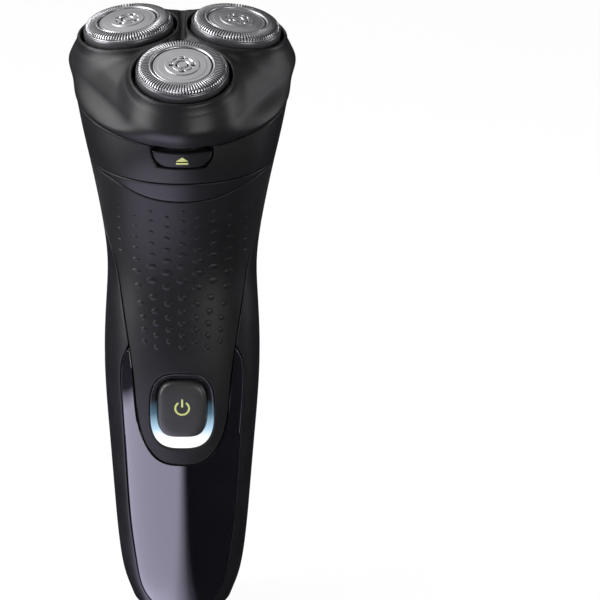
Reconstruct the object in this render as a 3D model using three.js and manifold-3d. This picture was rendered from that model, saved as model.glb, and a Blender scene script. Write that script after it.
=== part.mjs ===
// Rotary electric shaver with three flexing heads, modelled as an assembly of separate pieces.
// Millimetres, +Z up. The front, with the power button, faces -Y. The origin is under the middle of the whole
// shaver, on the flat foot that it stands on.
import * as THREE from "three";
import { mergeVertices } from "three/addons/utils/BufferGeometryUtils.js";
import Module from "manifold-3d";

const wasm = await Module();
wasm.setup();

// ---------------------------------------------------------------- driving dimensions

const GAP = 0.3; // clearance kept between pieces that touch
const SKIN = 2.2; // wall of the outer shells and panels
const FRAME_WALL = 1.5; // wall of the front housing behind the panels
const CENTRING = 2.5; // puts the middle of the whole shaver over the origin, front to back
const TURN = 2 * Math.PI;

// Handle sections from the foot to the neck: height, forward tilt in degrees, half width, front depth, back
// depth, roundness exponent.
const HANDLE = [
  [0, 0, 10.0, 7.6, 7.6, 2.2],
  [1.2, 0, 12.2, 9.6, 9.4, 2.2],
  [4, 0, 14.2, 11.8, 11.4, 2.2],
  [9, 0, 15.9, 14.0, 13.4, 2.25],
  [18, 0, 17.6, 16.3, 15.5, 2.3],
  [33, 0, 18.9, 18.2, 17.2, 2.35],
  [52, 0, 20.2, 19.6, 18.6, 2.35],
  [76, 0, 21.4, 20.2, 19.2, 2.35],
  [92, 0, 20.8, 19.2, 18.6, 2.3],
  [103, 0, 20.35, 18.5, 18.2, 2.25],
  [114, 1.5, 21.4, 19.8, 18.8, 2.2],
  [124, 4, 23.1, 22.4, 20.2, 2.15],
  [134.5, 6.7, 25.2, 25.6, 21.8, 2.1],
  [142, 10.5, 26.8, 27.7, 22.8, 2.05],
  [149.5, 15, 28.2, 29.3, 23.9, 2.0],
];
const AROUND = 24; // points round one handle section
const COLLAR_Z = 134.5; // where the neck collar meets the handle
const COLLAR_TILT = 6.7;

// The head plane holds the centres of the three shaving heads. Everything above the collar is built in it.
const HEAD = { y: -3, z: 165.3, tilt: 15 };
const HEAD_CIRCLE = 16.7; // from the middle to each head's centre
const HEAD_TILT = 7.7; // each head leans outwards by this
const HEAD_TURNS = [0, 120, 240]; // front, right and left head
const SEAM_W = -16; // underside of the head cover, in the head plane's own height
const SEAM = { centre: -1.2, half: 28.3, front: 29.5, back: 24 };
const OPENING_R = 13.0;
const RIM_R = 12.4;
const CAP_R = 11.5;

// Drive train, in the head plane's own frame.
const SPINDLE_CIRCLE = 14.9;
const FLOOR = { low: SEAM_W - 2.1, high: SEAM_W - 0.6 };
const HIGH_LAYER = [SEAM_W - 4.7, SEAM_W - 3];
const LOW_LAYER = [SEAM_W - 7.2, SEAM_W - 5.4];
const GEAR_PLATE = { low: SEAM_W - 9.4, high: SEAM_W - 7.6 };
const SCREW_CIRCLE = 15.2;
const SCREW_TURNS = [60, 180, 300];
const MOTOR = { v: -10, r: 8.5, top: GEAR_PLATE.low - 0.5, length: 26 };
const TEETH = { pinion: 6, centreLow: 18, centreHigh: 15, drive: 10 };
const LOW_MODULE = (2 * -MOTOR.v) / (TEETH.pinion + TEETH.centreLow);
const HIGH_MODULE = (2 * SPINDLE_CIRCLE) / (TEETH.centreHigh + TEETH.drive);

// Power button, light ring and the front panels' outlines, as seen from the front.
const BUTTON = { z: 66.3, half: 6.6, halfHeight: 8.1, roundness: 3.6 };
const RING = { z: 65.7, half: 8.7, halfHeight: 10.9, roundness: 3.0 };
const GRIP_EDGE = [
  [0, 50.4], [5.6, 51.4], [9.4, 55.2], [11.8, 62], [13.0, 74], [14.5, 85.4], [16.4, 98], [18.1, 107],
  [20.4, 113], [24, 117],
];
const GRIP_TOP = [[26, 133.2], [17.4, 130.2], [11, 127.6], [5, 126.3], [0, 126]];
const LOWER_EDGE = [
  [0, 2.2], [6.5, 3.2], [9.9, 7], [12.6, 17.5], [14, 28], [15.1, 43], [16.3, 67], [16.6, 73], [16.4, 77.5],
  [15.6, 80.8], [14.35, 83],
];
const RELEASE = { half: 7.8, low: -21.7, high: -17.4, back: -28.2 };
const HINGE = { v: 24.6, w: SEAM_W - 0.2, r: 1.6, pin: 0.7, half: 7.2, knuckle: 3.8 };
const SOCKET = { half: 4.9, depth: 3.5, wall: 0.7, low: 0.5, high: 11, floor: 8.6 };

// ---------------------------------------------------------------- materials

const plastic = (color, roughness) => new THREE.MeshStandardMaterial({ color, roughness, metalness: 0 });
const metal = (color, roughness) => new THREE.MeshStandardMaterial({ color, roughness, metalness: 1 });
const MATERIAL = {
  satinBlack: plastic(0x1d1d22, 0.42),
  matteBlack: plastic(0x1b1b1e, 0.55),
  softGrip: plastic(0x202024, 0.62),
  glossViolet: plastic(0x17151f, 0.12),
  buttonBlack: plastic(0x1f1f22, 0.5),
  lightGuide: plastic(0xf2f6ff, 0.3),
  greyRim: plastic(0x77777c, 0.35),
  cutterGrey: plastic(0x55565c, 0.5),
  whiteGear: plastic(0xe8e6de, 0.5),
  innerGrey: plastic(0x3a3b40, 0.6),
  board: plastic(0x1f5a3a, 0.5),
  batteryWrap: plastic(0x3c6a9a, 0.4),
  rubber: plastic(0x111111, 0.85),
  steel: metal(0xb9bbc0, 0.28),
  brass: metal(0xc9a45c, 0.35),
};

// ---------------------------------------------------------------- solids

const toRadians = THREE.MathUtils.degToRad;

// A closed three.js geometry as a manifold-3d solid.
function solid(geometry) {
  const bare = geometry.clone();
  for (const name of Object.keys(bare.attributes)) {
    if (name !== "position") bare.deleteAttribute(name);
  }
  const merged = mergeVertices(bare, 1e-4);
  const vertProperties = new Float32Array(merged.attributes.position.array);
  const triVerts = new Uint32Array(merged.index.array);
  return new wasm.Manifold(new wasm.Mesh({ numProp: 3, vertProperties, triVerts }));
}

function geometryOf(made) {
  const mesh = made.getMesh();
  const geometry = new THREE.BufferGeometry();
  geometry.setAttribute("position", new THREE.BufferAttribute(new Float32Array(mesh.vertProperties), 3));
  geometry.setIndex(new THREE.BufferAttribute(new Uint32Array(mesh.triVerts), 1));
  geometry.computeVertexNormals();
  return geometry;
}

const join = (...parts) => parts.reduce((a, b) => a.add(b));
const cut = (from, ...tools) => tools.reduce((a, b) => a.subtract(b), from);

// Rings of points joined into one closed solid, with a flat fan over each end.
function loft(rings) {
  const count = rings[0].length;
  const points = rings.flat();
  const index = [];
  for (let k = 0; k + 1 < rings.length; k += 1) {
    for (let i = 0; i < count; i += 1) {
      const j = (i + 1) % count;
      const [a, b, c, d] = [k * count + i, k * count + j, (k + 1) * count + j, (k + 1) * count + i];
      index.push(a, b, c, a, c, d);
    }
  }
  for (const [ring, first] of [[0, 0], [rings.length - 1, (rings.length - 1) * count]]) {
    const middle = new THREE.Vector3();
    rings[ring].forEach((p) => middle.add(p));
    points.push(middle.divideScalar(count));
    for (let i = 0; i < count; i += 1) {
      const [p, q] = [first + i, first + ((i + 1) % count)];
      index.push(...(ring === 0 ? [q, p, points.length - 1] : [p, q, points.length - 1]));
    }
  }
  const geometry = new THREE.BufferGeometry().setFromPoints(points);
  geometry.setIndex(index);
  return solid(geometry);
}

function box(x0, x1, y0, y1, z0, z1) {
  const geometry = new THREE.BoxGeometry(x1 - x0, y1 - y0, z1 - z0);
  geometry.translate((x0 + x1) / 2, (y0 + y1) / 2, (z0 + z1) / 2);
  return solid(geometry);
}

// A cylinder along Z, or along X or Y, between two places on its axis.
function rod(radius, from, to, { x = 0, y = 0, z = 0, along = "z", sides = 24, tip = radius } = {}) {
  const geometry = new THREE.CylinderGeometry(tip, radius, to - from, sides);
  geometry.rotateX(Math.PI / 2);
  geometry.translate(0, 0, (from + to) / 2);
  if (along === "y") geometry.rotateX(-Math.PI / 2);
  if (along === "x") geometry.rotateY(Math.PI / 2);
  geometry.translate(x, y, z);
  return solid(geometry);
}

// A solid of revolution about Z, from a profile of [radius, height] that starts and ends on the axis or closes.
function turned(profile, sides = 36) {
  const closed = profile.map(([r, h]) => new THREE.Vector2(r, h));
  if (closed[0].x > 0) closed.push(closed[0].clone());
  const geometry = new THREE.LatheGeometry(closed, sides);
  geometry.rotateX(Math.PI / 2);
  const made = solid(geometry);
  if (made.volume() > 0) return made;
  const reversed = new THREE.LatheGeometry(closed.reverse(), sides);
  reversed.rotateX(Math.PI / 2);
  return solid(reversed);
}

const ringOf = (outer, inner, low, high, sides = 36) =>
  turned([[inner, low], [outer, low], [outer, high], [inner, high]], sides);

// A flat outline in X and Y, extruded up Z between two heights.
function plate(points, low, high) {
  const shape = new THREE.Shape(points.map(([x, y]) => new THREE.Vector2(x, y)));
  const geometry = new THREE.ExtrudeGeometry(shape, { depth: high - low, bevelEnabled: false });
  geometry.translate(0, 0, low);
  return solid(geometry);
}

// An outline seen from the front, in X and Z, extruded from one depth to another along Y.
function frontCutter(points, front, back) {
  const geometry = new THREE.ExtrudeGeometry(
    new THREE.Shape(points.map(([x, z]) => new THREE.Vector2(x, z))),
    { depth: back - front, bevelEnabled: false },
  );
  geometry.rotateX(Math.PI / 2);
  geometry.translate(0, back, 0);
  return solid(geometry);
}

// Points of a superellipse: round at exponent 2, squarer above.
function superellipse(half, halfHeight, exponent, count, x = 0, y = 0) {
  const points = [];
  for (let i = 0; i < count; i += 1) {
    const a = (TURN * i) / count;
    const [c, s] = [Math.cos(a), Math.sin(a)];
    points.push([
      x + half * Math.sign(c) * Math.abs(c) ** (2 / exponent),
      y + halfHeight * Math.sign(s) * Math.abs(s) ** (2 / exponent),
    ]);
  }
  return points;
}

// A smooth line through hand-chosen points, and its mirror image across X = 0.
function smooth(points, steps) {
  const curve = new THREE.SplineCurve(points.map(([x, z]) => new THREE.Vector2(x, z)));
  return curve.getPoints(steps).map((p) => [Math.max(0, p.x), p.y]);
}
const mirrored = (half) => [...half, ...[...half].reverse().filter(([x]) => x > 1e-6).map(([x, z]) => [-x, z])];

// Teeth as trapezoids on a pitch circle, turned so that tooth 0 lies at the given phase (in teeth).
function gearOutline(teeth, module, phase) {
  const pitch = (teeth * module) / 2;
  const pitchAngle = TURN / teeth;
  const [rootHalf, tipHalf] = [0.33 * pitchAngle, 0.1 * pitchAngle];
  const points = [];
  for (let i = 0; i < teeth; i += 1) {
    const middle = (i + phase) * pitchAngle;
    for (const [radius, offset] of [
      [pitch - 1.15 * module, -rootHalf],
      [pitch + 0.78 * module, -tipHalf],
      [pitch + 0.78 * module, tipHalf],
      [pitch - 1.15 * module, rootHalf],
    ]) {
      points.push([radius * Math.cos(middle + offset), radius * Math.sin(middle + offset)]);
    }
  }
  return points;
}

// ---------------------------------------------------------------- frames

const shaver = new THREE.Group();
const assembly = new THREE.Group();
assembly.position.y = CENTRING;
shaver.add(assembly);
const headFrame = new THREE.Group();
headFrame.position.set(0, HEAD.y, HEAD.z);
headFrame.rotation.x = toRadians(HEAD.tilt);
assembly.add(headFrame);

// One frame for each shaving head: its outward side is -Y, its own axis +Z.
const headPlaces = HEAD_TURNS.map((turn) => {
  const spun = new THREE.Group();
  spun.rotation.z = toRadians(turn);
  const leaning = new THREE.Group();
  leaning.position.y = -HEAD_CIRCLE;
  leaning.rotation.x = toRadians(HEAD_TILT);
  spun.add(leaning);
  headFrame.add(spun);
  return leaning;
});
headPlaces.forEach((place) => [place, place.parent].forEach((group) => group.updateMatrix()));
headFrame.updateMatrix();

function add(name, made, material, parent = assembly) {
  const mesh = new THREE.Mesh(geometryOf(made), material);
  mesh.name = name;
  parent.add(mesh);
  return mesh;
}

// Moves a solid from a frame's own coordinates to its parent's.
const placed = (made, matrix) => made.transform(matrix.elements);
const inHeadPlane = (made, place) =>
  placed(made, new THREE.Matrix4().multiplyMatrices(place.parent.matrix, place.matrix));

// ---------------------------------------------------------------- handle surface

// Catmull-Rom between the rows of HANDLE, so that every dimension changes smoothly with height.
function sectionAt(height) {
  const last = HANDLE.length - 1;
  let i = 0;
  while (i < last - 1 && HANDLE[i + 1][0] < height) i += 1;
  const rows = [HANDLE[Math.max(i - 1, 0)], HANDLE[i], HANDLE[i + 1], HANDLE[Math.min(i + 2, last)]];
  const [h0, h1, h2, h3] = rows.map((row) => row[0]);
  const t = (height - h1) / (h2 - h1);
  return rows[1].map((value, k) => {
    const [p0, p1, p2, p3] = rows.map((row) => row[k]);
    const m1 = h2 > h0 ? ((p2 - p0) / (h2 - h0)) * (h2 - h1) : 0;
    const m2 = h3 > h1 ? ((p3 - p1) / (h3 - h1)) * (h2 - h1) : 0;
    const [a, b] = [2 * t ** 3 - 3 * t ** 2 + 1, t ** 3 - 2 * t ** 2 + t];
    return a * p1 + b * m1 + (1 - a) * p2 + (t ** 3 - t ** 2) * m2;
  });
}

// One ring of points round the handle at a height, drawn in by an inset.
function handleRing(height, inset = 0) {
  const [z, tilt, half, front, back, exponent] = sectionAt(height);
  const [c, s] = [Math.cos(toRadians(tilt)), Math.sin(toRadians(tilt))];
  return superellipse(1, 1, exponent, AROUND).map(([x, y]) => {
    const v = y * ((y < 0 ? front : back) - inset);
    return new THREE.Vector3(x * (half - inset), v * c, z + v * s);
  });
}

// The outside takes every level, and the surfaces inside it every other one.
const OUTER_LEVELS = [0, 1.2, 4, 9, 18, 33, 54, 76, 92, 106, 120, 134.5, 142, 149.5];
const INNER_LEVELS = [9, 33, 76, 106, 134.5, 149.5];
function handleSolid(inset, from = 0) {
  const levels = inset > 0 ? INNER_LEVELS : OUTER_LEVELS;
  return loft([from, ...levels.filter((z) => z > from + 0.5)].map((z) => handleRing(z, inset)));
}

// A big block above a tilted plane that crosses the YZ plane at (y, z).
function above(y, z, tilt) {
  const geometry = new THREE.BoxGeometry(200, 200, 100);
  geometry.translate(0, 0, 50);
  geometry.rotateX(toRadians(tilt));
  geometry.translate(0, y, z);
  return solid(geometry);
}
function headPlaneAbove(w) {
  const [c, s] = [Math.cos(toRadians(HEAD.tilt)), Math.sin(toRadians(HEAD.tilt))];
  return above(HEAD.y - w * s, HEAD.z + w * c, HEAD.tilt);
}

const outer = handleSolid(0);
const skinInside = handleSolid(SKIN, SKIN);
const skin = cut(outer, skinInside);
const belowCollar = cut(skin, above(0, COLLAR_Z - GAP / 2, COLLAR_TILT));

// ---------------------------------------------------------------- front outlines

const ringOutline = (grow) =>
  superellipse(RING.half + grow, RING.halfHeight + grow, RING.roundness, 28, 0, RING.z);
const buttonOutline = (grow) =>
  superellipse(BUTTON.half + grow, BUTTON.halfHeight + grow, BUTTON.roundness, 28, 0, BUTTON.z);

const gripSide = smooth(GRIP_EDGE, 14);
const gripTop = smooth(GRIP_TOP, 6);
const gripOutline = mirrored([...gripSide, ...gripTop]);

// The lower panel runs under the grip's tongue, a gap away from it.
const tongueBelow = gripSide.filter(([, z]) => z < 84).map(([x, z]) => [x + GAP, z - GAP]).reverse();
const lowerOutline = mirrored([...smooth(LOWER_EDGE, 14), ...tongueBelow]);

const FRONT_FACE = -40;

// A panel's cutter with copies moved just over a gap to each side, which leave room all round the panel.
function withRoom(cutter) {
  const room = 1.1 * GAP;
  return [[0, 0], [room, 0], [-room, 0], [0, room], [0, -room]].map(([x, z]) => cutter.translate(x, 0, z));
}

function rearHousing() {
  const gripHoles = withRoom(frontCutter(gripOutline, FRONT_FACE, -GAP));
  const lowerHoles = withRoom(frontCutter(lowerOutline, FRONT_FACE, 0));
  const socketHole = plate(superellipse(SOCKET.half + GAP, SOCKET.depth + GAP, 4, 24), -5, 12);
  return cut(belowCollar, ...gripHoles, ...lowerHoles, socketHole);
}

function gripPanel() {
  const body = skin.intersect(frontCutter(gripOutline, FRONT_FACE, -2 * GAP));
  return cut(body, frontCutter(ringOutline(GAP), FRONT_FACE, 0));
}

const lowerPanel = () => skin.intersect(frontCutter(lowerOutline, FRONT_FACE, 0));

// The front housing carries both panels from behind, and stands inside the rear housing.
function frontHousing() {
  const shell = cut(handleSolid(SKIN + GAP, 3), handleSolid(SKIN + GAP + FRAME_WALL, 4.5));
  const outline = mirrored([[0, 14], [10, 15], [14.5, 32], [16, 60], [16, 84], [15.5, 100], [17, 118], [0, 122]]);
  const panel = shell.intersect(frontCutter(outline, FRONT_FACE, 0));
  return cut(panel, frontCutter(superellipse(4.2, 4.2, 2.4, 20, 0, BUTTON.z), FRONT_FACE, 0));
}

// ---------------------------------------------------------------- neck collar

// The release button's recess is open towards the head cover.
const releaseRecess = () => box(-RELEASE.half - GAP, RELEASE.half + GAP, -40, -18, RELEASE.low - GAP, 0);
const toRow = (made) => placed(made, headFrame.matrix);

function neckCollar() {
  const shell = skin
    .intersect(above(0, COLLAR_Z + GAP / 2, COLLAR_TILT))
    .subtract(headPlaneAbove(SEAM_W - GAP));
  const ears = [-1, 1].map((side) => {
    const [from, to] = [HINGE.knuckle + GAP, HINGE.half];
    const span = side > 0 ? [from, to] : [-to, -from];
    const eye = rod(HINGE.r, span[0], span[1], { along: "x", y: HINGE.v, z: HINGE.w, sides: 20 });
    const web = box(span[0], span[1], 21.2, HINGE.v, HINGE.w - 5.5, HINGE.w - 0.4);
    const heel = box(span[0], span[1], HINGE.v - 0.1, HINGE.v + HINGE.r, HINGE.w - 1.6, HINGE.w);
    return cut(
      join(eye, web, heel),
      rod(HINGE.pin + GAP, span[0] - 1, span[1] + 1, { along: "x", y: HINGE.v, z: HINGE.w, sides: 20 }),
    );
  });
  return cut(join(shell, ...ears.map(toRow)), toRow(releaseRecess()));
}

// ---------------------------------------------------------------- head cover

// The cover's body above its seam: height, and its margin round the triangle of head centres.
const COVER = [[-14, 15.2], [-10, 15.9], [-8, 15.4], [-6, 14.2], [-4.5, 13], [-3.2, 10.6], [-2.2, 7]];

// How far that triangle, grown by a margin, reaches from the middle in one direction.
function triangleReach(angle, margin) {
  const third = TURN / 3;
  const fromCorner = Math.abs(((angle + TURN / 4 + third / 2 + TURN) % third) - third / 2);
  const fromSide = third / 2 - fromCorner;
  const reach = (HEAD_CIRCLE / 2 + margin) / Math.cos(fromSide);
  if (reach * Math.sin(fromSide) <= HEAD_CIRCLE * Math.sin(third / 2)) return reach;
  const across = HEAD_CIRCLE * Math.sin(fromCorner);
  return HEAD_CIRCLE * Math.cos(fromCorner) + Math.sqrt(margin ** 2 - across ** 2);
}

// The body as rings: two on the seam's oval, the lower one out of the way, and then the rounded triangles.
function coverSolid(inset) {
  const angles = Array.from({ length: 36 }, (_, i) => (TURN * i) / 36);
  const oval = (w) => angles.map((angle) => {
    const [c, s] = [Math.cos(angle), Math.sin(angle)];
    const reach = (s < 0 ? SEAM.front : SEAM.back) - inset;
    return new THREE.Vector3(c * (SEAM.half - inset), SEAM.centre + s * reach, w);
  });
  const triangles = COVER.map(([w, margin]) =>
    angles.map((angle) => {
      const reach = triangleReach(angle, margin - inset);
      return new THREE.Vector3(reach * Math.cos(angle), reach * Math.sin(angle), w - inset);
    }),
  );
  return loft([oval(SEAM_W - 2 - inset), oval(SEAM_W - inset), ...triangles]);
}

// The stepped drum round one head, in that head's own frame: outside and hollow.
const DRUM = [
  [0, -1], [13.7, -1], [14.3, -1.6], [14.3, -3], [15, -3.5], [15, -8.4], [14.2, -12.5], [12.6, -20], [0, -20],
];
const DRUM_HOLLOW = [[0, -2.8], [13.2, -2.8], [13.2, -8.4], [10.8, -20], [0, -20]];

function headCover() {
  const wall = 1.8;
  const slab = box(-60, 60, -60, 60, SEAM_W, 20);
  const drums = headPlaces.map((p) => inHeadPlane(turned(DRUM, 28), p));
  const hollows = headPlaces.map((p) => inHeadPlane(turned(DRUM_HOLLOW, 24), p));
  const outside = join(coverSolid(0), ...drums).intersect(slab);
  const inside = join(coverSolid(wall), ...hollows);
  const openings = headPlaces.map((p) => inHeadPlane(rod(OPENING_R, -6, 6, { sides: 28 }), p));
  const post = rod(2.8, -6.0, -2.4, { sides: 14 });
  const knuckle = join(
    rod(HINGE.r, -HINGE.knuckle, HINGE.knuckle, { along: "x", y: HINGE.v, z: HINGE.w, sides: 20 }),
    box(-HINGE.knuckle, HINGE.knuckle, 21.5, HINGE.v, SEAM_W + 0.1, SEAM_W + 2.6),
  );
  const pinHole = rod(HINGE.pin + GAP, -9, 9, { along: "x", y: HINGE.v, z: HINGE.w, sides: 20 });
  const catchRib = box(-4, 4, -30.4, -27.6, SEAM_W + 1, SEAM_W + 2);
  return cut(join(cut(outside, inside, ...openings), post, knuckle, catchRib), pinHole);
}

// ---------------------------------------------------------------- shaving heads

// Slotted steel cap: a shallow cup with a raised track for the blades and a sunken middle.
function shavingCap() {
  return turned([
    [7.9, -0.1], [8.2, 0.95], [11, 0.75], [CAP_R, 0.2], [CAP_R, -2], [11, -2], [10.8, 0.35], [8.5, 0.55],
  ], 28);
}

function capDisc() {
  return turned([[0, 0.9], [4.5, 0.75], [7.6, 0.2], [7.6, -0.3], [0, -0.3]], 24);
}

// Plastic ring that grips the cap's skirt and shows as a grey band under it.
const capRim = () =>
  turned([
    [CAP_R + GAP, 0], [RIM_R, -0.4], [RIM_R, -2.9], [10.2, -2.9], [10.2, -2.3], [CAP_R + GAP, -2.3],
  ], 28);

const capCarrier = () => ringOf(12.2, 10.2, -5.3, -4.2, 24);

// Turning cutter: nine blades on a hub, with a socket below for the drive spindle.
function cutter() {
  const hub = turned([
    [0, -1], [9.4, -1], [9.4, -1.9], [4.5, -1.9], [4.3, -7.5], [3.2, -7.5], [3.2, -3.4], [0, -3.4],
  ], 18);
  const blades = [];
  for (let i = 0; i < 9; i += 1) {
    const blade = box(-0.35, 0.35, -10.3, -8.6, -1.6, 0.1);
    blades.push(blade.rotate(0, 0, (360 * i) / 9));
  }
  return join(hub, ...blades);
}

// Frame under the heads: three rings round a hub, joined by the hub's disc.
function retainingFrame() {
  const [low, high] = [-10.2, -8.6];
  const ringCircle = 15.4;
  const rings = HEAD_TURNS.map((turn) => {
    const [x, y] = [ringCircle * Math.sin(toRadians(turn)), -ringCircle * Math.cos(toRadians(turn))];
    return { outer: rod(11.4, low, high, { x, y, sides: 24 }), hole: rod(6.8, low - 1, high + 1, { x, y, sides: 20 }) };
  });
  const middle = rod(9, low, high);
  return cut(join(middle, ...rings.map((r) => r.outer)), ...rings.map((r) => r.hole), rod(2.1, -12, -6));
}

// Lock wheel in the middle of the retaining frame, with a finger bar to turn it by.
const frameLock = () =>
  join(
    turned([[0, -11.9], [5, -11.9], [5, -10.5], [1.8, -10.5], [1.8, -6.4], [0, -6.4]], 24),
    box(-4.2, 4.2, -0.7, 0.7, -13.2, -11.8),
  );

// ---------------------------------------------------------------- drive train

const spindlePlace = (turn) => [
  SPINDLE_CIRCLE * Math.sin(toRadians(turn)),
  -SPINDLE_CIRCLE * Math.cos(toRadians(turn)),
];

// Output gear with a hollow hub that stands up through the chamber floor.
function driveGear(turn) {
  // A tooth of the centre gear points along each spindle's direction, so each drive gear shows it a gap.
  const facing = (turn + 90) / 360 + 0.5 / TEETH.drive;
  const toothed = plate(
    gearOutline(TEETH.drive, HIGH_MODULE, facing * TEETH.drive), ...HIGH_LAYER,
  );
  const hub = rod(2.5, HIGH_LAYER[0], SEAM_W + 3, { sides: 18 });
  const pivot = rod(1.2, GEAR_PLATE.low + 0.3, HIGH_LAYER[0] + 0.1, { sides: 12 });
  return cut(join(toothed, hub, pivot), rod(1.85, SEAM_W - 3.9, SEAM_W + 5, { sides: 16 }));
}

function centreGear() {
  const high = plate(gearOutline(TEETH.centreHigh, HIGH_MODULE, -TEETH.centreHigh / 4), ...HIGH_LAYER);
  const low = plate(gearOutline(TEETH.centreLow, LOW_MODULE, -TEETH.centreLow / 4), ...LOW_LAYER);
  const axle = join(
    rod(3, LOW_LAYER[0], HIGH_LAYER[1], { sides: 16 }),
    rod(1.2, GEAR_PLATE.low + 0.3, LOW_LAYER[0] + 0.1, { sides: 12 }),
  );
  return join(high, low, axle);
}

// The pinion turns a gap towards the centre gear's tooth.
const motorPinion = () =>
  cut(
    plate(gearOutline(TEETH.pinion, LOW_MODULE, TEETH.pinion / 4 + 0.5), LOW_LAYER[0], LOW_LAYER[1]),
    rod(0.8 + GAP, LOW_LAYER[0] - 1, LOW_LAYER[1] + 1, { sides: 12 }),
  );

const driveSpindle = () =>
  join(rod(1.5, SEAM_W - 3.5, -8.2, { sides: 14 }), rod(1.4, -8.3, -6.3, { sides: 6, tip: 1.1 }));

// Plate that carries the gears' lower pivots and the motor, with posts for the floor's screws.
function gearPlate() {
  const inside = handleSolid(SKIN + 1.2);
  const flat = placed(inside, headFrame.matrix.clone().invert()).intersect(
    box(-40, 40, -40, 40, GEAR_PLATE.low, GEAR_PLATE.high),
  );
  const pillars = SCREW_TURNS.map((turn) => {
    const [x, y] = [SCREW_CIRCLE * Math.sin(toRadians(turn)), -SCREW_CIRCLE * Math.cos(toRadians(turn))];
    const post = rod(2.3, GEAR_PLATE.high - 0.1, FLOOR.low - GAP, { x, y, sides: 12 });
    return { post, bore: rod(1.2, GEAR_PLATE.low - 1, FLOOR.high, { x, y, sides: 8 }) };
  });
  const pivots = HEAD_TURNS.map((turn) => {
    const [x, y] = spindlePlace(turn);
    return rod(1.5, GEAR_PLATE.low - 1, GEAR_PLATE.high + 1, { x, y, sides: 12 });
  });
  return cut(
    join(flat, ...pillars.map((p) => p.post)),
    ...pillars.map((p) => p.bore),
    ...pivots,
    rod(1.5, GEAR_PLATE.low - 1, GEAR_PLATE.high + 1, { sides: 12 }),
    rod(2.2, GEAR_PLATE.low - 1, GEAR_PLATE.high + 1, { y: MOTOR.v, sides: 16 }),
    box(-7.2, 7.2, -40, -24.4, GEAR_PLATE.low - 1, GEAR_PLATE.high + 1),
  );
}

// Floor of the hair chamber, closing the top of the handle round the three drive hubs.
function chamberFloor() {
  const inside = placed(handleSolid(SKIN + GAP), headFrame.matrix.clone().invert());
  const flat = inside.intersect(box(-40, 40, -40, 40, FLOOR.low, FLOOR.high));
  const holes = HEAD_TURNS.map((turn) => {
    const [x, y] = spindlePlace(turn);
    return rod(2.8, FLOOR.low - 1, FLOOR.high + 1, { x, y, sides: 18 });
  });
  const screwHoles = SCREW_TURNS.map((turn) =>
    rod(1.2, FLOOR.low - 1, FLOOR.high + 1, {
      x: SCREW_CIRCLE * Math.sin(toRadians(turn)), y: -SCREW_CIRCLE * Math.cos(toRadians(turn)), sides: 8,
    }),
  );
  const latchSlot = box(-7.2, 7.2, -40, -24.4, FLOOR.low - 1, FLOOR.high + 1);
  return cut(flat, ...holes, ...screwHoles, latchSlot);
}

const floorScrew = () =>
  join(
    rod(1.7, FLOOR.high + GAP, FLOOR.high + 1.2, { sides: 14, tip: 1.4 }),
    rod(0.85, FLOOR.low - 4, FLOOR.high + GAP + 0.1, { sides: 10 }),
  );

function motorCan() {
  const can = rod(MOTOR.r, MOTOR.top - MOTOR.length, MOTOR.top, { sides: 30 });
  const boss = rod(1.8, MOTOR.top - 0.1, MOTOR.top + 0.9, { sides: 18 });
  const flats = [-1, 1].map((side) => box(-10, 10, side > 0 ? 7.4 : -12, side > 0 ? 12 : -7.4, -60, -10));
  return cut(join(can, boss), ...flats, rod(0.8 + GAP, MOTOR.top - 5.5, MOTOR.top + 2, { sides: 14 }));
}
const motorEndBell = () => {
  const top = MOTOR.top - MOTOR.length - GAP;
  return join(
    rod(6.6, top - 1.6, top, { sides: 28 }),
    box(-5, -3.6, -0.4, 0.4, top - 4.6, top - 1.5),
    box(3.6, 5, -0.4, 0.4, top - 4.6, top - 1.5),
  );
};

// ---------------------------------------------------------------- release latch

// The button fills the collar's window. Its latch arm stands up inside the head cover.
function releaseButton() {
  const faceShape = placed(outer, headFrame.matrix.clone().invert());
  const { half, low, high, back } = RELEASE;
  return faceShape.intersect(box(-half, half, -40, back, low, high));
}
const releaseLatch = () =>
  join(
    box(-3.6, 3.6, -27.3, -26.2, RELEASE.low + 0.4, SEAM_W + 3.3),
    box(-3.6, 3.6, -28.4, -26.2, SEAM_W + 2.3, SEAM_W + 3.3),
    box(-6.5, 6.5, RELEASE.back + GAP, -26.9, RELEASE.low + 0.4, RELEASE.high - 0.6),
  );

// ---------------------------------------------------------------- handle innards

const chassis = () => {
  const spine = box(-10.2, 10.2, -9.2, -7.2, 24, 104);
  const cradles = [28, 46, 64].map((z) => box(-9.6, 9.6, -7.3, 3.5, z, z + 2.5));
  const saddle = box(-9.6, 9.6, -7.3, 0, 96, 104);
  const cell = rod(7.1 + GAP, 10, 80, { y: 5, sides: 28 });
  const motorSpace = toRow(rod(MOTOR.r + GAP, -64, -20, { y: MOTOR.v, sides: 24 }));
  return cut(join(spine, ...cradles, saddle), cell, motorSpace);
};
const circuitBoard = () => box(-9.2, 9.2, -10.7, -9.5, 28, 92);
const powerSwitch = () => join(box(-3, 3, -12.6, -11, 63.3, 69.3), rod(1.6, 0, 1, { along: "y", y: -13.5, z: 66.3 }));
const statusLed = () => box(-2, 2, -12.2, -11, 55.6, 57.6);
const batteryCell = () => join(rod(7.1, 22, 70.6, { y: 5, sides: 28 }), rod(2.6, 70.5, 71.6, { y: 5, sides: 16 }));

function lightRing() {
  const guide = frontCutter(ringOutline(0), -19.4, -17.9);
  const space = frontCutter(buttonOutline(GAP), -30, 0);
  return cut(guide.intersect(handleSolid(0.8)), space, handleSolid(SKIN + GAP / 2));
}

function powerButton() {
  const cap = frontCutter(buttonOutline(0), -21.0, -18.2);
  return join(cap, rod(2.2, 0, 3.8, { along: "y", y: -18.4, z: BUTTON.z, sides: 20 }));
}

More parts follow.
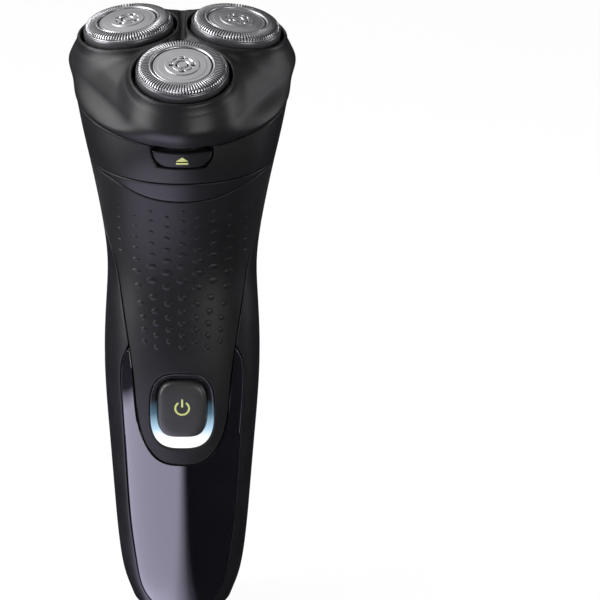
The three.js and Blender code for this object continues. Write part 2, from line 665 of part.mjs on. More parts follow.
function chargingSocket() {
  const { half, depth, wall, low, high, floor } = SOCKET;
  const body = plate(superellipse(half, depth, 4, 24), low, high);
  const recess = plate(superellipse(half - wall, depth - wall, 4, 24), low - 1, floor);
  const pinHoles = [-1.6, 1.6].map((x) => rod(0.6 + GAP, 0, 20, { x, sides: 12 }));
  return cut(body, recess, ...pinHoles);
}
const contactPin = (x) => rod(0.6, 6.4, 13, { x, sides: 14 });

// ---------------------------------------------------------------- assembly

add("rear_housing", rearHousing(), MATERIAL.satinBlack);
add("front_housing", frontHousing(), MATERIAL.innerGrey);
add("grip_panel", gripPanel(), MATERIAL.softGrip);
add("lower_panel", lowerPanel(), MATERIAL.glossViolet);
add("neck_collar", neckCollar(), MATERIAL.matteBlack);
add("light_ring", lightRing(), MATERIAL.lightGuide);
add("power_button", powerButton(), MATERIAL.buttonBlack);
add("chassis", chassis(), MATERIAL.innerGrey);
add("circuit_board", circuitBoard(), MATERIAL.board);
add("power_switch", powerSwitch(), MATERIAL.innerGrey);
add("status_led", statusLed(), MATERIAL.lightGuide);
add("battery_cell", batteryCell(), MATERIAL.batteryWrap);
add("charging_socket", chargingSocket(), MATERIAL.matteBlack);
add("contact_pin_1", contactPin(-1.6), MATERIAL.brass);
add("contact_pin_2", contactPin(1.6), MATERIAL.brass);

add("head_cover", headCover(), MATERIAL.matteBlack, headFrame);
add("retaining_frame", retainingFrame(), MATERIAL.innerGrey, headFrame);
add("frame_lock", frameLock(), MATERIAL.cutterGrey, headFrame);
add("hinge_pin", rod(HINGE.pin, -7, 7, { along: "x", y: HINGE.v, z: HINGE.w, sides: 16 }), MATERIAL.steel, headFrame);
add("release_button", releaseButton(), MATERIAL.matteBlack, headFrame);
add("release_latch", releaseLatch(), MATERIAL.innerGrey, headFrame);
add("chamber_floor", chamberFloor(), MATERIAL.innerGrey, headFrame);
add("gear_plate", gearPlate(), MATERIAL.innerGrey, headFrame);
add("centre_gear", centreGear(), MATERIAL.whiteGear, headFrame);
add("motor_can", motorCan(), MATERIAL.steel, headFrame).position.y = MOTOR.v;
add("motor_end_bell", motorEndBell(), MATERIAL.innerGrey, headFrame).position.y = MOTOR.v;
add("motor_pinion", motorPinion(), MATERIAL.brass, headFrame).position.y = MOTOR.v;
add("motor_shaft", rod(0.8, MOTOR.top - 5, LOW_LAYER[1] - 0.1, { sides: 12 }), MATERIAL.steel, headFrame).position.y = MOTOR.v;

HEAD_TURNS.forEach((turn, i) => {
  const n = i + 1;
  const place = headPlaces[i];
  const [x, y] = spindlePlace(turn);
  const atSpindle = (name, made, material) => {
    add(name, made, material, headFrame).position.set(x, y, 0);
  };
  add(`shaving_cap_${n}`, shavingCap(), MATERIAL.steel, place);
  add(`cap_disc_${n}`, capDisc(), MATERIAL.steel, place);
  add(`cap_rim_${n}`, capRim(), MATERIAL.greyRim, place);
  add(`cap_carrier_${n}`, capCarrier(), MATERIAL.innerGrey, place);
  add(`cutter_${n}`, cutter(), MATERIAL.cutterGrey, place);
  atSpindle(`drive_gear_${n}`, driveGear(turn), MATERIAL.whiteGear);
  atSpindle(`drive_spindle_${n}`, driveSpindle(), MATERIAL.steel);
  atSpindle(`spindle_seal_${n}`, ringOf(4.2, 2.8, FLOOR.high + GAP, FLOOR.high + GAP + 1, 20), MATERIAL.rubber);
});

SCREW_TURNS.forEach((turn, i) => {
  const screw = add(`floor_screw_${i + 1}`, floorScrew(), MATERIAL.steel, headFrame);
  screw.position.set(SCREW_CIRCLE * Math.sin(toRadians(turn)), -SCREW_CIRCLE * Math.cos(toRadians(turn)), 0);
});

export default shaver;
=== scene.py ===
# Rotary shaver: the looks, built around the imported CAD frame.
# Shapes are worked out in millimetres and become metres when their mesh is made. The front faces -Y.
import math

import bmesh
import bpy
import numpy as np
from mathutils import Matrix, Vector


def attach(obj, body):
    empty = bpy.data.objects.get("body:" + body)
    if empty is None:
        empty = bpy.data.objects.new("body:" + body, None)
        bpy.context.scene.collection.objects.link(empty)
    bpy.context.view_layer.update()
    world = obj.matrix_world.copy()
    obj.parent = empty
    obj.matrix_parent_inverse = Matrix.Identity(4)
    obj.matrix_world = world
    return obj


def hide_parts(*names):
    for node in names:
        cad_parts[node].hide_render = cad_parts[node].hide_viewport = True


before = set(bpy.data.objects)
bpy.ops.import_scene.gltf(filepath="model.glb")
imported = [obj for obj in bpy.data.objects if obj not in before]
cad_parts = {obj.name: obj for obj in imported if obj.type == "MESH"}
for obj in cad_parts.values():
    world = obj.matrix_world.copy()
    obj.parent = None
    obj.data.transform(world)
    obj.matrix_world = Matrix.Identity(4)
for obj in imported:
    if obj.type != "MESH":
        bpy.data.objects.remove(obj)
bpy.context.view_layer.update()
print("frame:", len(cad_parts), "CAD nodes")

seam = 0.3  # open line between two shells
centring = 2.5  # the handle's axis stands this far behind the origin


# curves and surfaces

# A smooth curve through rows of values, as a function of the first column.
def naturalSpline(xs, ys):
    xs, ys = np.array(xs, float), np.array(ys, float)
    n, gaps = len(xs), np.diff(xs)
    a, b = np.eye(n), np.zeros(ys.shape)
    for i in range(1, n - 1):
        a[i, i - 1:i + 2] = gaps[i - 1], 2 * (gaps[i - 1] + gaps[i]), gaps[i]
        b[i] = 6 * ((ys[i + 1] - ys[i]) / gaps[i] - (ys[i] - ys[i - 1]) / gaps[i - 1])
    bend = np.linalg.solve(a, b)
    wide = (...,) + (None,) * (ys.ndim - 1)

    def at(x):
        x = np.clip(np.asarray(x, float), xs[0], xs[-1])
        i = np.clip(np.searchsorted(xs, x) - 1, 0, n - 2)
        gap, past, left = gaps[i][wide], (x - xs[i])[wide], (xs[i + 1] - x)[wide]
        return ((bend[i] * left ** 3 + bend[i + 1] * past ** 3) / (6 * gap)
                + (ys[i] / gap - bend[i] * gap / 6) * left + (ys[i + 1] / gap - bend[i + 1] * gap / 6) * past)
    return at


# Share of a polyline's length at each of its points.
def alongLine(points):
    steps = np.linalg.norm(np.diff(points, axis=0), axis=1)
    return np.concatenate([[0], np.cumsum(steps)]) / steps.sum()


def resampled(points, count):
    share, wanted = alongLine(points), np.linspace(0, 1, count)
    return np.stack([np.interp(wanted, share, points[:, k]) for k in range(points.shape[1])], -1)


def smoothLine(points, count):
    points = np.array(points, float)
    fine = naturalSpline(alongLine(points), points)(np.linspace(0, 1, 400))
    return resampled(fine, count)


def ease(t):
    t = np.clip(t, 0, 1)
    return t * t * (3 - 2 * t)


# meshes

def gridFaces(rows, cols, closed=False):
    faces = []
    for r in range(rows - 1):
        for c in range(cols if closed else cols - 1):
            d = (c + 1) % cols
            faces.append((r * cols + c, r * cols + d, (r + 1) * cols + d, (r + 1) * cols + c))
    return faces


# Points and faces as a bmesh in millimetres, with doubles merged and empty faces dropped.
def cleaned(points, faces, merge=0.015):
    bm = bmesh.new()
    verts = [bm.verts.new(p) for p in np.asarray(points, float).tolist()]
    for face in faces:
        if len(set(face)) > 2:
            bm.faces.new([verts[i] for i in dict.fromkeys(face)])
    bmesh.ops.remove_doubles(bm, verts=bm.verts, dist=merge)
    bmesh.ops.delete(bm, geom=[v for v in bm.verts if not v.link_faces], context="VERTS")
    bm.normal_update()
    bm.verts.index_update()
    return bm


def linked(obj):
    bpy.context.scene.collection.objects.link(obj)
    return obj


def objectFrom(bm, name, smooth=True):
    mesh = bpy.data.meshes.new(name)
    bm.to_mesh(mesh)
    bm.free()
    if smooth:
        mesh.shade_smooth()
    return bpy.data.objects.new(name, mesh)


# A bmesh in millimetres becomes a linked object in metres.
def pieceFrom(bm, name):
    bmesh.ops.scale(bm, vec=(0.001,) * 3, verts=bm.verts)
    bm.normal_update()
    return linked(objectFrom(bm, name))


def plainPiece(name, points, faces):
    return pieceFrom(cleaned(points, faces), name)


# A sheet becomes a closed shell: rounded along its edges, and as thick as depth on the inner side.
def shellFrom(name, points, faces, depth, rim, steps=3):
    bm = cleaned(points, faces)
    p = np.array([v.co for v in bm.verts])
    n = np.array([v.normal for v in bm.verts])
    if ((p - [0, centring, 0])[:, :2] * n[:, :2]).sum() < 0:
        bmesh.ops.reverse_faces(bm, faces=bm.faces)
        bm.normal_update()
        n = np.array([v.normal for v in bm.verts])
    edges = [(e.link_loops[0].vert.index, e.link_loops[0].link_loop_next.vert.index)
             for e in bm.edges if e.is_boundary]
    polygons = [[v.index for v in f.verts] for f in bm.faces]
    bm.free()
    following = {a: b for a, b in edges}
    before = {b: a for a, b in edges}
    border = sorted(following)
    slot = {v: k for k, v in enumerate(border)}
    tangent = p[[following[v] for v in border]] - p[[before[v] for v in border]]
    side = np.cross(tangent, n[border])
    side /= np.maximum(np.linalg.norm(side, axis=1, keepdims=True), 1e-9)
    count = len(p)
    outer = p.copy()
    outer[border] = p[border] - side * rim
    rings = []
    for k in range(1, steps + 1):
        a = math.pi / 2 * k / steps
        rings.append(p[border] - side * rim * (1 - math.sin(a)) - n[border] * rim * (1 - math.cos(a)))
    inner = p - n * depth
    allPoints = np.concatenate([outer, *rings, inner])
    size = len(border)

    def ringIndex(k, v):
        return v if k == 0 else count + (k - 1) * size + slot[v] if k <= steps else count + steps * size + v
    newFaces = list(polygons) + [[count + steps * size + i for i in reversed(f)] for f in polygons]
    for a, b in edges:
        for k in range(steps + 1):
            newFaces.append((ringIndex(k, b), ringIndex(k, a), ringIndex(k + 1, a), ringIndex(k + 1, b)))
    return pieceFrom(cleaned(allPoints, newFaces, 0.002), name)


# Points and faces of a turned shape. Profile is (radius, height) from the top middle outwards and down.
def lathe(profile, around=128):
    angles = np.linspace(0, 2 * math.pi, around, endpoint=False)
    profile = np.array(profile, float)
    ring = np.stack([np.cos(angles), np.sin(angles)], -1)
    points = np.concatenate([
        np.concatenate([r * ring, np.full((around, 1), h)], 1) for r, h in profile])
    faces = [f[::-1] for f in gridFaces(len(profile), around, closed=True)]
    return points, faces


def moved(points, matrix):
    m = np.array(matrix)
    return np.asarray(points) @ m[:3, :3].T + m[:3, 3]


def joined(*shapes):
    points, faces, start = [], [], 0
    for p, f in shapes:
        points.append(np.asarray(p, float))
        faces += [tuple(i + start for i in face) for face in f]
        start += len(p)
    return np.concatenate(points), faces


# Gives each corner a UV from its vertex's place in millimetres.
def withUv(obj, uvOf):
    mesh = obj.data
    co = np.zeros(len(mesh.vertices) * 3)
    mesh.vertices.foreach_get("co", co)
    uv = uvOf(co.reshape(-1, 3) * 1000)
    corner = np.zeros(len(mesh.loops), int)
    mesh.loops.foreach_get("vertex_index", corner)
    layer = mesh.uv_layers.new(name="finish")
    layer.data.foreach_set("uv", uv[corner].ravel())


def finish(obj, body, material, replaces=()):
    obj.data.materials.clear()
    obj.data.materials.append(material)
    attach(obj, body)
    if replaces:
        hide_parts(*replaces)
    return obj


# materials: node groups shared by all, then one material for each finish

# Each link is given as a node, its output, the next node and that one's input.
def wire(tree, *links):
    for start, output, end, entry in links:
        tree.links.new(start.outputs[output], end.inputs[entry])


def fill(node, values):
    for key, value in values.items():
        node.inputs[key].default_value = value


# The colours of a ramp at its start, at its end and between them.
def fillRamp(ramp, start, end, between):
    stops = ramp.color_ramp.elements
    stops[0].position, stops[0].color = 0.0, (*start, 1)
    stops[1].position, stops[1].color = 1.0, (*end, 1)
    for spot, colour in between:
        stops.new(spot).color = (*colour, 1)
def groupSocket(group, name, direction, kind="NodeSocketFloat", value=None):
    made = group.interface.new_socket(name=name, in_out=direction, socket_type=kind)
    if value is not None:
        made.default_value = value
    return made


# Soft shade changes, handling marks and a fine grain, all from object coordinates.
def surfaceGroup():
    group = bpy.data.node_groups.new("surfaceDetail", "ShaderNodeTree")
    groupSocket(group, "Mottle Scale", "INPUT", value=120)
    groupSocket(group, "Mark Scale", "INPUT", value=60)
    groupSocket(group, "Grain Scale", "INPUT", value=2500)
    for name in ("Mottle", "Marks", "Grain"):
        groupSocket(group, name, "OUTPUT")
    nodes = group.nodes
    start, end = nodes.new("NodeGroupInput"), nodes.new("NodeGroupOutput")
    place = nodes.new("ShaderNodeTexCoord")
    for name, scale, detail, lowest, highest in (
            ("Mottle", "Mottle Scale", 3, 0.35, 0.65), ("Marks", "Mark Scale", 5, 0.52, 0.72),
            ("Grain", "Grain Scale", 2, 0.3, 0.7)):
        noise, level = nodes.new("ShaderNodeTexNoise"), nodes.new("ShaderNodeMapRange")
        fill(noise, {"Detail": detail})
        fill(level, {"From Min": lowest, "From Max": highest})
        wire(group, (place, "Object", noise, "Vector"), (start, scale, noise, "Scale"),
             (noise, "Fac", level, "Value"), (level, "Result", end, name))
    return group


# Fine rings from a lathe, on a UV whose V is the distance from the middle.
def turnedGroup():
    group = bpy.data.node_groups.new("turnedRings", "ShaderNodeTree")
    groupSocket(group, "Ring Scale", "INPUT", value=60)
    groupSocket(group, "Rings", "OUTPUT")
    nodes = group.nodes
    start, end = nodes.new("NodeGroupInput"), nodes.new("NodeGroupOutput")
    uv, split, noise = (nodes.new(k) for k in (
        "ShaderNodeUVMap", "ShaderNodeSeparateXYZ", "ShaderNodeTexNoise"))
    uv.uv_map = "finish"
    noise.noise_dimensions = "1D"
    fill(noise, {"Detail": 4})
    wire(group, (uv, "UV", split, "Vector"), (split, "Y", noise, "W"), (start, "Ring Scale", noise, "Scale"),
         (noise, "Fac", end, "Rings"))
    return group


surfaceDetail, turnedRings = surfaceGroup(), turnedGroup()


# A finish whose colour drifts from dark to light, with handling marks in its roughness and a fine grain.
# Grain is a scale, a strength and a depth in metres.
def material(name, dark, light, roughness, marks=0.06, grain=(2500, 0.1, 0.00002), metallic=0.0, rings=None,
             **constants):
    made = bpy.data.materials.new(name)
    made.use_nodes = True
    tree = made.node_tree
    nodes, shader = tree.nodes, tree.nodes["Principled BSDF"]
    detail = nodes.new("ShaderNodeGroup")
    detail.node_tree = surfaceDetail
    colour, rough, bump = (nodes.new(k) for k in ("ShaderNodeMix", "ShaderNodeMapRange", "ShaderNodeBump"))
    colour.data_type = "RGBA"
    fill(detail, {"Grain Scale": grain[0]})
    fill(colour, {"A": (*dark, 1), "B": (*light, 1)})
    fill(rough, {"To Min": roughness, "To Max": roughness + marks})
    fill(bump, {"Strength": grain[1], "Distance": grain[2]})
    wire(tree, (detail, "Mottle", colour, "Factor"), (colour, "Result", shader, "Base Color"),
         (detail, "Marks", rough, "Value"), (rough, "Result", shader, "Roughness"))
    height, output = detail, "Grain"
    if rings:
        height, output = nodes.new("ShaderNodeGroup"), "Rings"
        height.node_tree = turnedRings
        fill(height, {"Ring Scale": rings})
    wire(tree, (height, output, bump, "Height"), (bump, "Normal", shader, "Normal"))
    sockets = {"coat": "Coat Weight", "coatRoughness": "Coat Roughness", "specular": "Specular IOR Level",
               "sheen": "Sheen Weight", "sheenRoughness": "Sheen Roughness"}
    fill(shader, {"Metallic": metallic, **{sockets[key]: value for key, value in constants.items()}})
    return made


satinShell = material("satinShell", (0.0095, 0.0090, 0.0112), (0.0125, 0.0120, 0.0146), 0.36,
                      grain=(3200, 0.12, 0.00002), specular=0.4)
matteCover = material("matteCover", (0.0095, 0.0095, 0.0105), (0.0125, 0.0125, 0.0140), 0.40,
                      grain=(2600, 0.2, 0.00003), specular=0.4)
softGrip = material("softGrip", (0.0085, 0.0085, 0.0096), (0.0110, 0.0110, 0.0126), 0.42,
                    grain=(3000, 0.22, 0.00003), sheen=0.05, sheenRoughness=0.4, specular=0.3)
glossPanel = material("glossPanel", (0.0040, 0.0036, 0.0060), (0.0055, 0.0050, 0.0080), 0.06, marks=0.03,
                      grain=(700, 0.02, 0.00001), specular=1.0, coat=1.0, coatRoughness=0.03)
buttonBlack = material("buttonBlack", (0.030, 0.030, 0.030), (0.036, 0.036, 0.037), 0.36)
rimGrey = material("rimGrey", (0.12, 0.12, 0.13), (0.16, 0.16, 0.17), 0.3, metallic=0.6)
cutterGrey = material("cutterGrey", (0.09, 0.09, 0.10), (0.12, 0.12, 0.13), 0.45)
gearWhite = material("gearWhite", (0.72, 0.70, 0.64), (0.80, 0.78, 0.72), 0.42)
innerGrey = material("innerGrey", (0.040, 0.041, 0.046), (0.052, 0.053, 0.060), 0.5)
boardGreen = material("boardGreen", (0.01, 0.09, 0.04), (0.02, 0.13, 0.06), 0.35)
batteryWrap = material("batteryWrap", (0.04, 0.14, 0.30), (0.05, 0.17, 0.36), 0.3)
sealRubber = material("sealRubber", (0.008, 0.008, 0.008), (0.012, 0.012, 0.012), 0.7)
steel = material("steel", (0.52, 0.52, 0.54), (0.60, 0.60, 0.62), 0.30, metallic=1.0,
                 grain=(1800, 0.05, 0.00001))
turnedSteel = material("turnedSteel", (0.54, 0.54, 0.56), (0.62, 0.62, 0.64), 0.36, metallic=1.0, rings=900,
                       grain=(1800, 0.25, 0.00002))
contactBrass = material("contactBrass", (0.60, 0.40, 0.13), (0.68, 0.48, 0.18), 0.3, metallic=1.0)
symbolYellow = material("symbolYellow", (0.66, 0.70, 0.24), (0.74, 0.78, 0.32), 0.5)


# Lit white at the bottom of the ring, pale blue up its sides and dark at its top.
def lightGuideMaterial():
    made = material("lightGuide", (0.02, 0.022, 0.026), (0.03, 0.032, 0.036), 0.2)
    tree = made.node_tree
    place, split, level, ramp = (tree.nodes.new(k) for k in (
        "ShaderNodeTexCoord", "ShaderNodeSeparateXYZ", "ShaderNodeMapRange", "ShaderNodeValToRGB"))
    # heights in metres where the light starts and where it has faded out
    fill(level, {"From Min": 0.0545, "From Max": 0.0690})
    fillRamp(ramp, (1.0, 1.0, 1.0), (0.0, 0.0, 0.0), (
        (0.22, (0.98, 1.0, 1.0)), (0.42, (0.42, 0.62, 0.78)), (0.72, (0.06, 0.13, 0.19))))
    shader = tree.nodes["Principled BSDF"]
    wire(tree, (place, "Object", split, "Vector"), (split, "Z", level, "Value"),
         (level, "Result", ramp, "Fac"), (ramp, "Color", shader, "Emission Color"))
    fill(shader, {"Emission Strength": 1.15})
    return made


lightGuide = lightGuideMaterial()
print("materials made")


# the handle's surface
handle = {
    # height, forward tilt, half width, front depth, back depth, squareness
    "rows": [
        (0, 0, 10, 7.6, 7.6, 2.2), (1.2, 0, 12.2, 9.6, 9.4, 2.2), (4, 0, 14.2, 11.8, 11.4, 2.2),
        (9, 0, 15.9, 14, 13.4, 2.25), (18, 0, 17.6, 16.3, 15.5, 2.3), (33, 0, 18.9, 18.2, 17.2, 2.35),
        (52, 0, 20.2, 19.6, 18.6, 2.35), (76, 0, 21.4, 20.2, 19.2, 2.35), (92, 0, 20.8, 19.2, 18.6, 2.3),
        (103, 0, 20.35, 18.5, 18.2, 2.25), (114, 1.5, 21.4, 19.8, 18.8, 2.2),
        (124, 4, 23.1, 22.4, 20.2, 2.15), (134.5, 6.7, 25.2, 25.6, 21.8, 2.1),
        (142, 10.5, 26.8, 27.7, 22.8, 1.95), (149.5, 15, 28.2, 29.3, 23.9, 1.8),
    ],
    "gripEdge": [(0, 50.4), (3, 50.6), (5.6, 51.4), (9.4, 55.2), (11.8, 62), (13, 74), (14.5, 85.4),
                 (16.4, 98), (18.1, 107), (20.4, 113), (22.4, 117)],
    "gripTop": [(0, 126), (5, 126.3), (11, 127.6), (17.4, 130.2), (24.4, 132.6)],
    "lowerEdge": [(0, 2.2), (6.5, 3.2), (9.9, 7), (12.6, 17.5), (14, 28), (15.1, 43), (16.3, 67), (16.6, 73),
                  (16.4, 77.5), (15.6, 80.8), (14.35, 83)],
    "collar": 134.5,
    "top": 149.5,
    "footEdge": 1.2,  # the height where the foot's rounding ends
    "wall": 1.4,
    "rim": 0.18,
    "socket": (5.2, 3.8),  # half sizes of the opening for the charging socket
}
sections = naturalSpline([r[0] for r in handle["rows"]], [r[1:] for r in handle["rows"]])


# A point of the surface: q runs from 0 in front through 1 at the side to 2 at the back, h is the height.
def handlePoint(q, h, inset=0.0):
    tilt, half, front, back, power = np.moveaxis(sections(h), -1, 0)
    angle = np.radians(90 * np.asarray(q, float))
    s, c = np.sin(angle), np.cos(angle)
    x = np.sign(s) * np.abs(s) ** (2 / power) * (half - inset)
    v = -np.sign(c) * np.abs(c) ** (2 / power) * (np.where(c > 0, front, back) - inset)
    lean = np.radians(tilt)
    return np.stack([x, v * np.cos(lean) + centring, h + v * np.sin(lean)], -1)


headMiddle = (0, centring - 3, 165.3)
headPlane = Matrix.Translation(headMiddle) @ Matrix.Rotation(math.radians(15), 4, "X")
fromHeadPlane = np.array(headPlane.inverted())


# Front points given as (x, z), or as (x, height in the head plane's frame), found on the surface as (q, h).
def onFront(points, inHeadPlane=False):
    x, target = np.array(points, float).T
    h = target + (165.0 if inHeadPlane else 0.0)  # a first guess
    for _ in range(20):
        values = sections(h)
        half, power = values[..., 1], values[..., 4]
        q = np.arcsin(np.clip(np.abs(x) / half, 0, 1) ** (power / 2)) / (math.pi / 2) * np.sign(x)
        found = handlePoint(q, h)
        found = moved(found, fromHeadPlane) if inHeadPlane else found
        h = h + 0.8 * (target - found[:, 2])
    return np.stack([q, h], -1)


# Rows of surface points between two paths of (q, h).
def patch(inner, outer, cols):
    t = np.linspace(0, 1, cols)[None, :, None]
    return inner[:, None] * (1 - t) + outer[:, None] * t


def surfaceOf(qh):
    return handlePoint(qh[..., 0], qh[..., 1])


# The right half given as rows of points, with its mirror image added.
def bothHalves(rows):
    count, cols = rows.shape[:2]
    points, faces = rows.reshape(-1, 3), gridFaces(count, cols)
    mirror = points * [-1, 1, 1]
    return joined((points, faces), (mirror, [f[::-1] for f in faces]))


gripSide = smoothLine(handle["gripEdge"], 110)
lowerSide = smoothLine(handle["lowerEdge"], 110)
gripTop = smoothLine(handle["gripTop"], 60)
gripSideQh = onFront(gripSide)
gripSideQh[-1, 0] = 1.0
cornerH = 132.4  # where the grip's top meets the side of the handle
meeting = handle["lowerEdge"][-1][1]  # where the lower panel's tip meets the grip's edge


# The faces whose corners all stand beyond a limit, and the vertices they share with the dropped ones.
def faceCut(faces, d, limit):
    keep = [f for f in faces if min(d[list(f)]) > limit]
    dropped = {i for f in faces if min(d[list(f)]) <= limit for i in f}
    return keep, sorted({i for f in keep for i in f} & dropped)


# Faces outside a hole are kept, and the hole's own border is drawn onto its outline.
def holeCut(qh, faces, distance, reach):
    keep, border = faceCut(faces, distance(surfaceOf(qh)), -reach)
    spot = qh[border].copy()
    nudges = np.array([1e-3, 0]), np.array([0, 1e-2])
    perQ = 20  # about how many millimetres one unit of q covers
    weight = np.array([1 / perQ ** 2, 1.0])
    for _ in range(8):
        value = distance(surfaceOf(spot))
        slope = np.stack([(distance(surfaceOf(spot + e)) - value) / e.max() for e in nudges], -1)
        spot -= (value / np.maximum((slope ** 2 * weight).sum(1), 1e-9))[:, None] * slope * weight
    qh = qh.copy()
    qh[border] = spot
    return qh, keep


# The same for a window seen from the front, its border being drawn straight away from its middle.
def windowCut(qh, faces, middle, distance):
    keep, border = faceCut(faces, distance(surfaceOf(qh)), 0)
    ray = surfaceOf(qh[border])[:, [0, 2]] - middle
    low, high = np.zeros(len(ray)), np.full(len(ray), 3.0)
    for _ in range(40):
        half = (low + high) / 2
        spot = middle + ray * half[:, None]
        inside = distance(np.stack([spot[:, 0], spot[:, 0], spot[:, 1]], -1)) < 0
        low, high = np.where(inside, half, low), np.where(inside, high, half)
    qh = qh.copy()
    qh[border] = onFront(middle + ray * low[:, None])
    return qh, keep


def superDistance(half, tall, power, x, z):
    return ((np.abs(x / half) ** power + np.abs(z / tall) ** power) ** (1 / power) - 1) * min(half, tall)


lightWindow = {"half": 8.9, "tall": 11.1, "power": 3.0, "z": 66.1}


def gripPanel():
    count, cols, rise = 150, 44, 24
    # bottom of the tongue, up its side, then up the side of the handle to the grip's top corner
    upwards = np.linspace(gripSideQh[-1, 1], cornerH, rise + 1)[1:]
    side = np.concatenate([gripSideQh, np.stack([np.ones(rise), upwards], -1)])
    share = alongLine(surfaceOf(side))
    rows = np.linspace(0, 1, count)
    outer = np.stack([np.interp(rows, share, side[:, k]) for k in (0, 1)], -1)
    low, high = onFront([handle["gripEdge"][0], handle["gripTop"][0]])[:, 1]
    inner = np.stack([np.zeros(count), low + (high - low) * rows ** 1.12], -1)
    qh = patch(inner, outer, cols)
    top = onFront(gripTop)
    top[-1] = 1.0, cornerH
    bow = np.interp(np.linspace(0, 1, cols), top[:, 0], top[:, 1]) - qh[-1, :, 1]
    # only the upper quarter bends to the curved top
    qh[:, :, 1] += ease((rows - 0.75) / 0.25)[:, None] * bow
    half, faces = qh.reshape(-1, 2), gridFaces(count, cols)
    both, facesBoth = joined((half, faces), (half * [-1, 1], [f[::-1] for f in faces]))
    w = lightWindow
    outline = lambda p: superDistance(w["half"], w["tall"], w["power"], p[:, 0], p[:, 2] - w["z"])
    both, facesBoth = windowCut(both, facesBoth, (0, w["z"]), outline)
    panel = shellFrom("gripPanel", surfaceOf(both), facesBoth, handle["wall"], rim=0.25)
    return finish(panel, "handle", softGrip, ["grip_panel"])


def lowerPanel():
    under, beside, cols = 60, 80, 30  # rows below the grip's tongue, rows beside it, and columns
    bottom, tongue = handle["lowerEdge"][0][1], handle["gripEdge"][0][1]
    inner = np.concatenate([
        np.stack([np.zeros(under), np.linspace(bottom, tongue - seam, under)], -1),
        gripSide[gripSide[:, 1] < meeting + 0.6][1:] + [seam, -seam]])
    inner[-1] = lowerSide[-1]
    innerQh, outerQh = onFront(inner), onFront(lowerSide)
    rows = np.concatenate([np.linspace(0, 0.5, under), np.linspace(0.5, 1, beside + 1)[1:]])
    spread = lambda qh, knots: np.stack([np.interp(rows, knots, qh[:, k]) for k in (0, 1)], -1)
    shareIn = alongLine(surfaceOf(innerQh))
    bend = shareIn[under - 1]
    knots = np.where(shareIn < bend, 0.5 * shareIn / bend, 0.5 + 0.5 * (shareIn - bend) / (1 - bend))
    qh = patch(spread(innerQh, knots), spread(outerQh, alongLine(surfaceOf(outerQh))), cols)
    points, faces = bothHalves(surfaceOf(qh))
    panel = shellFrom("lowerPanel", points, faces, handle["wall"], rim=handle["rim"])
    return finish(panel, "handle", glossPanel, ["lower_panel"])


# Everything behind the front's openings: the foot with its socket opening, the back and sides, and the band
# between the grip and the collar.
def rearHousing():
    cols, bandRows, riseRows, footEdge = 56, 6, 22, handle["footEdge"]
    along = np.gradient(lowerSide, axis=0)
    outward = np.stack([along[:, 1], -along[:, 0]], -1) / np.linalg.norm(along, axis=1, keepdims=True)
    lower, upper = lowerSide + seam * outward, gripSide + [seam, 0]
    edge = np.concatenate([[[0, lowerSide[0, 1] - seam]], lower[1:-4], upper[upper[:, 1] > meeting + 0.8]])
    edgeQh = onFront(edge)
    edgeQh[-1, 0] = 1.0
    collarLine = handle["collar"] - seam / 2
    join = np.stack([np.ones(bandRows), np.linspace(cornerH + seam, collarLine, bandRows)], -1)
    rise = np.linspace(edgeQh[-1, 1], cornerH + seam, riseRows + 1)[1:]
    rise = np.stack([np.ones(riseRows), rise], -1)
    start = np.concatenate([[[0, 0], [0, 0.5], [0, footEdge]], edgeQh, rise, join[1:]])
    count = len(start)
    share = alongLine(surfaceOf(start[2:]))
    # the rows lie closer together near the foot
    backH = np.concatenate([start[:2, 1], footEdge + (join[-1, 1] - footEdge) * share ** 1.5])
    back = np.stack([np.full(count, 2.0), backH], -1)
    sides = surfaceOf(patch(start, back, cols))
    # the foot's flat underside, from the socket's squarish opening outwards
    angle, power = np.linspace(0, math.pi, cols), 2 / 4
    s, c = np.sin(angle), np.cos(angle)
    hole = np.stack([handle["socket"][0] * np.abs(s) ** power,
                     centring - np.sign(c) * handle["socket"][1] * np.abs(c) ** power, np.zeros(cols)], -1)
    foot = np.stack([hole * (1 - t) + sides[0] * t for t in (0, 0.1, 0.5, 0.85, 0.96)])
    rear = bothHalves(np.concatenate([foot, sides]))
    # the band in front
    q = np.linspace(0, 1, 60)
    top = onFront(gripTop)
    top[-1] = 1.0, cornerH
    lowH = np.interp(q, top[:, 0], top[:, 1]) + seam
    t = np.linspace(0, 1, bandRows)[:, None]
    bandH = lowH * (1 - t) + collarLine * t
    band = handlePoint(np.broadcast_to(q, bandH.shape), bandH)
    points, faces = joined(rear, bothHalves(band))
    piece = shellFrom("rearHousing", points, faces, handle["wall"], rim=handle["rim"])
    return finish(piece, "handle", satinShell, ["rear_housing"])


gripPanel()
lowerPanel()
rearHousing()
print("handle shells made")


# the dimples of the grip: low domes on staggered columns that close up downwards
dimples = {
    "heights": [84.6, 87.9, 91.2, 94.5, 98.3, 102.9, 106.9, 110.3, 113.6, 117.0, 120.4, 123.3],
    "columns": 4,  # on each side of the middle one, with one more that is only half as long
    "stagger": 1.75,
    "margin": 2.2,  # kept free inside the grip's edge
    "spread": ([84, 92, 104, 117, 124], [3.35, 3.45, 4.1, 4.2, 4.2]),  # sideways pitch at a height
    "droop": 0.055,  # how much a column hangs lower, for each square of its number
    "width": ([84, 90, 98, 103, 107, 113, 119, 124], [1.7, 2.0, 2.3, 3.0, 2.9, 2.2, 1.6, 1.2]),
    "height": ([84, 90, 98, 103, 107, 113, 119, 124], [1.5, 1.7, 1.8, 1.9, 1.5, 1.1, 0.9, 0.8]),
    "lift": 0.2,
    "lowest": (83, 0.12),  # bottom of the field, and its rise for each square of a column's number
    "short": (98, 118),  # where the outermost columns start and end
}


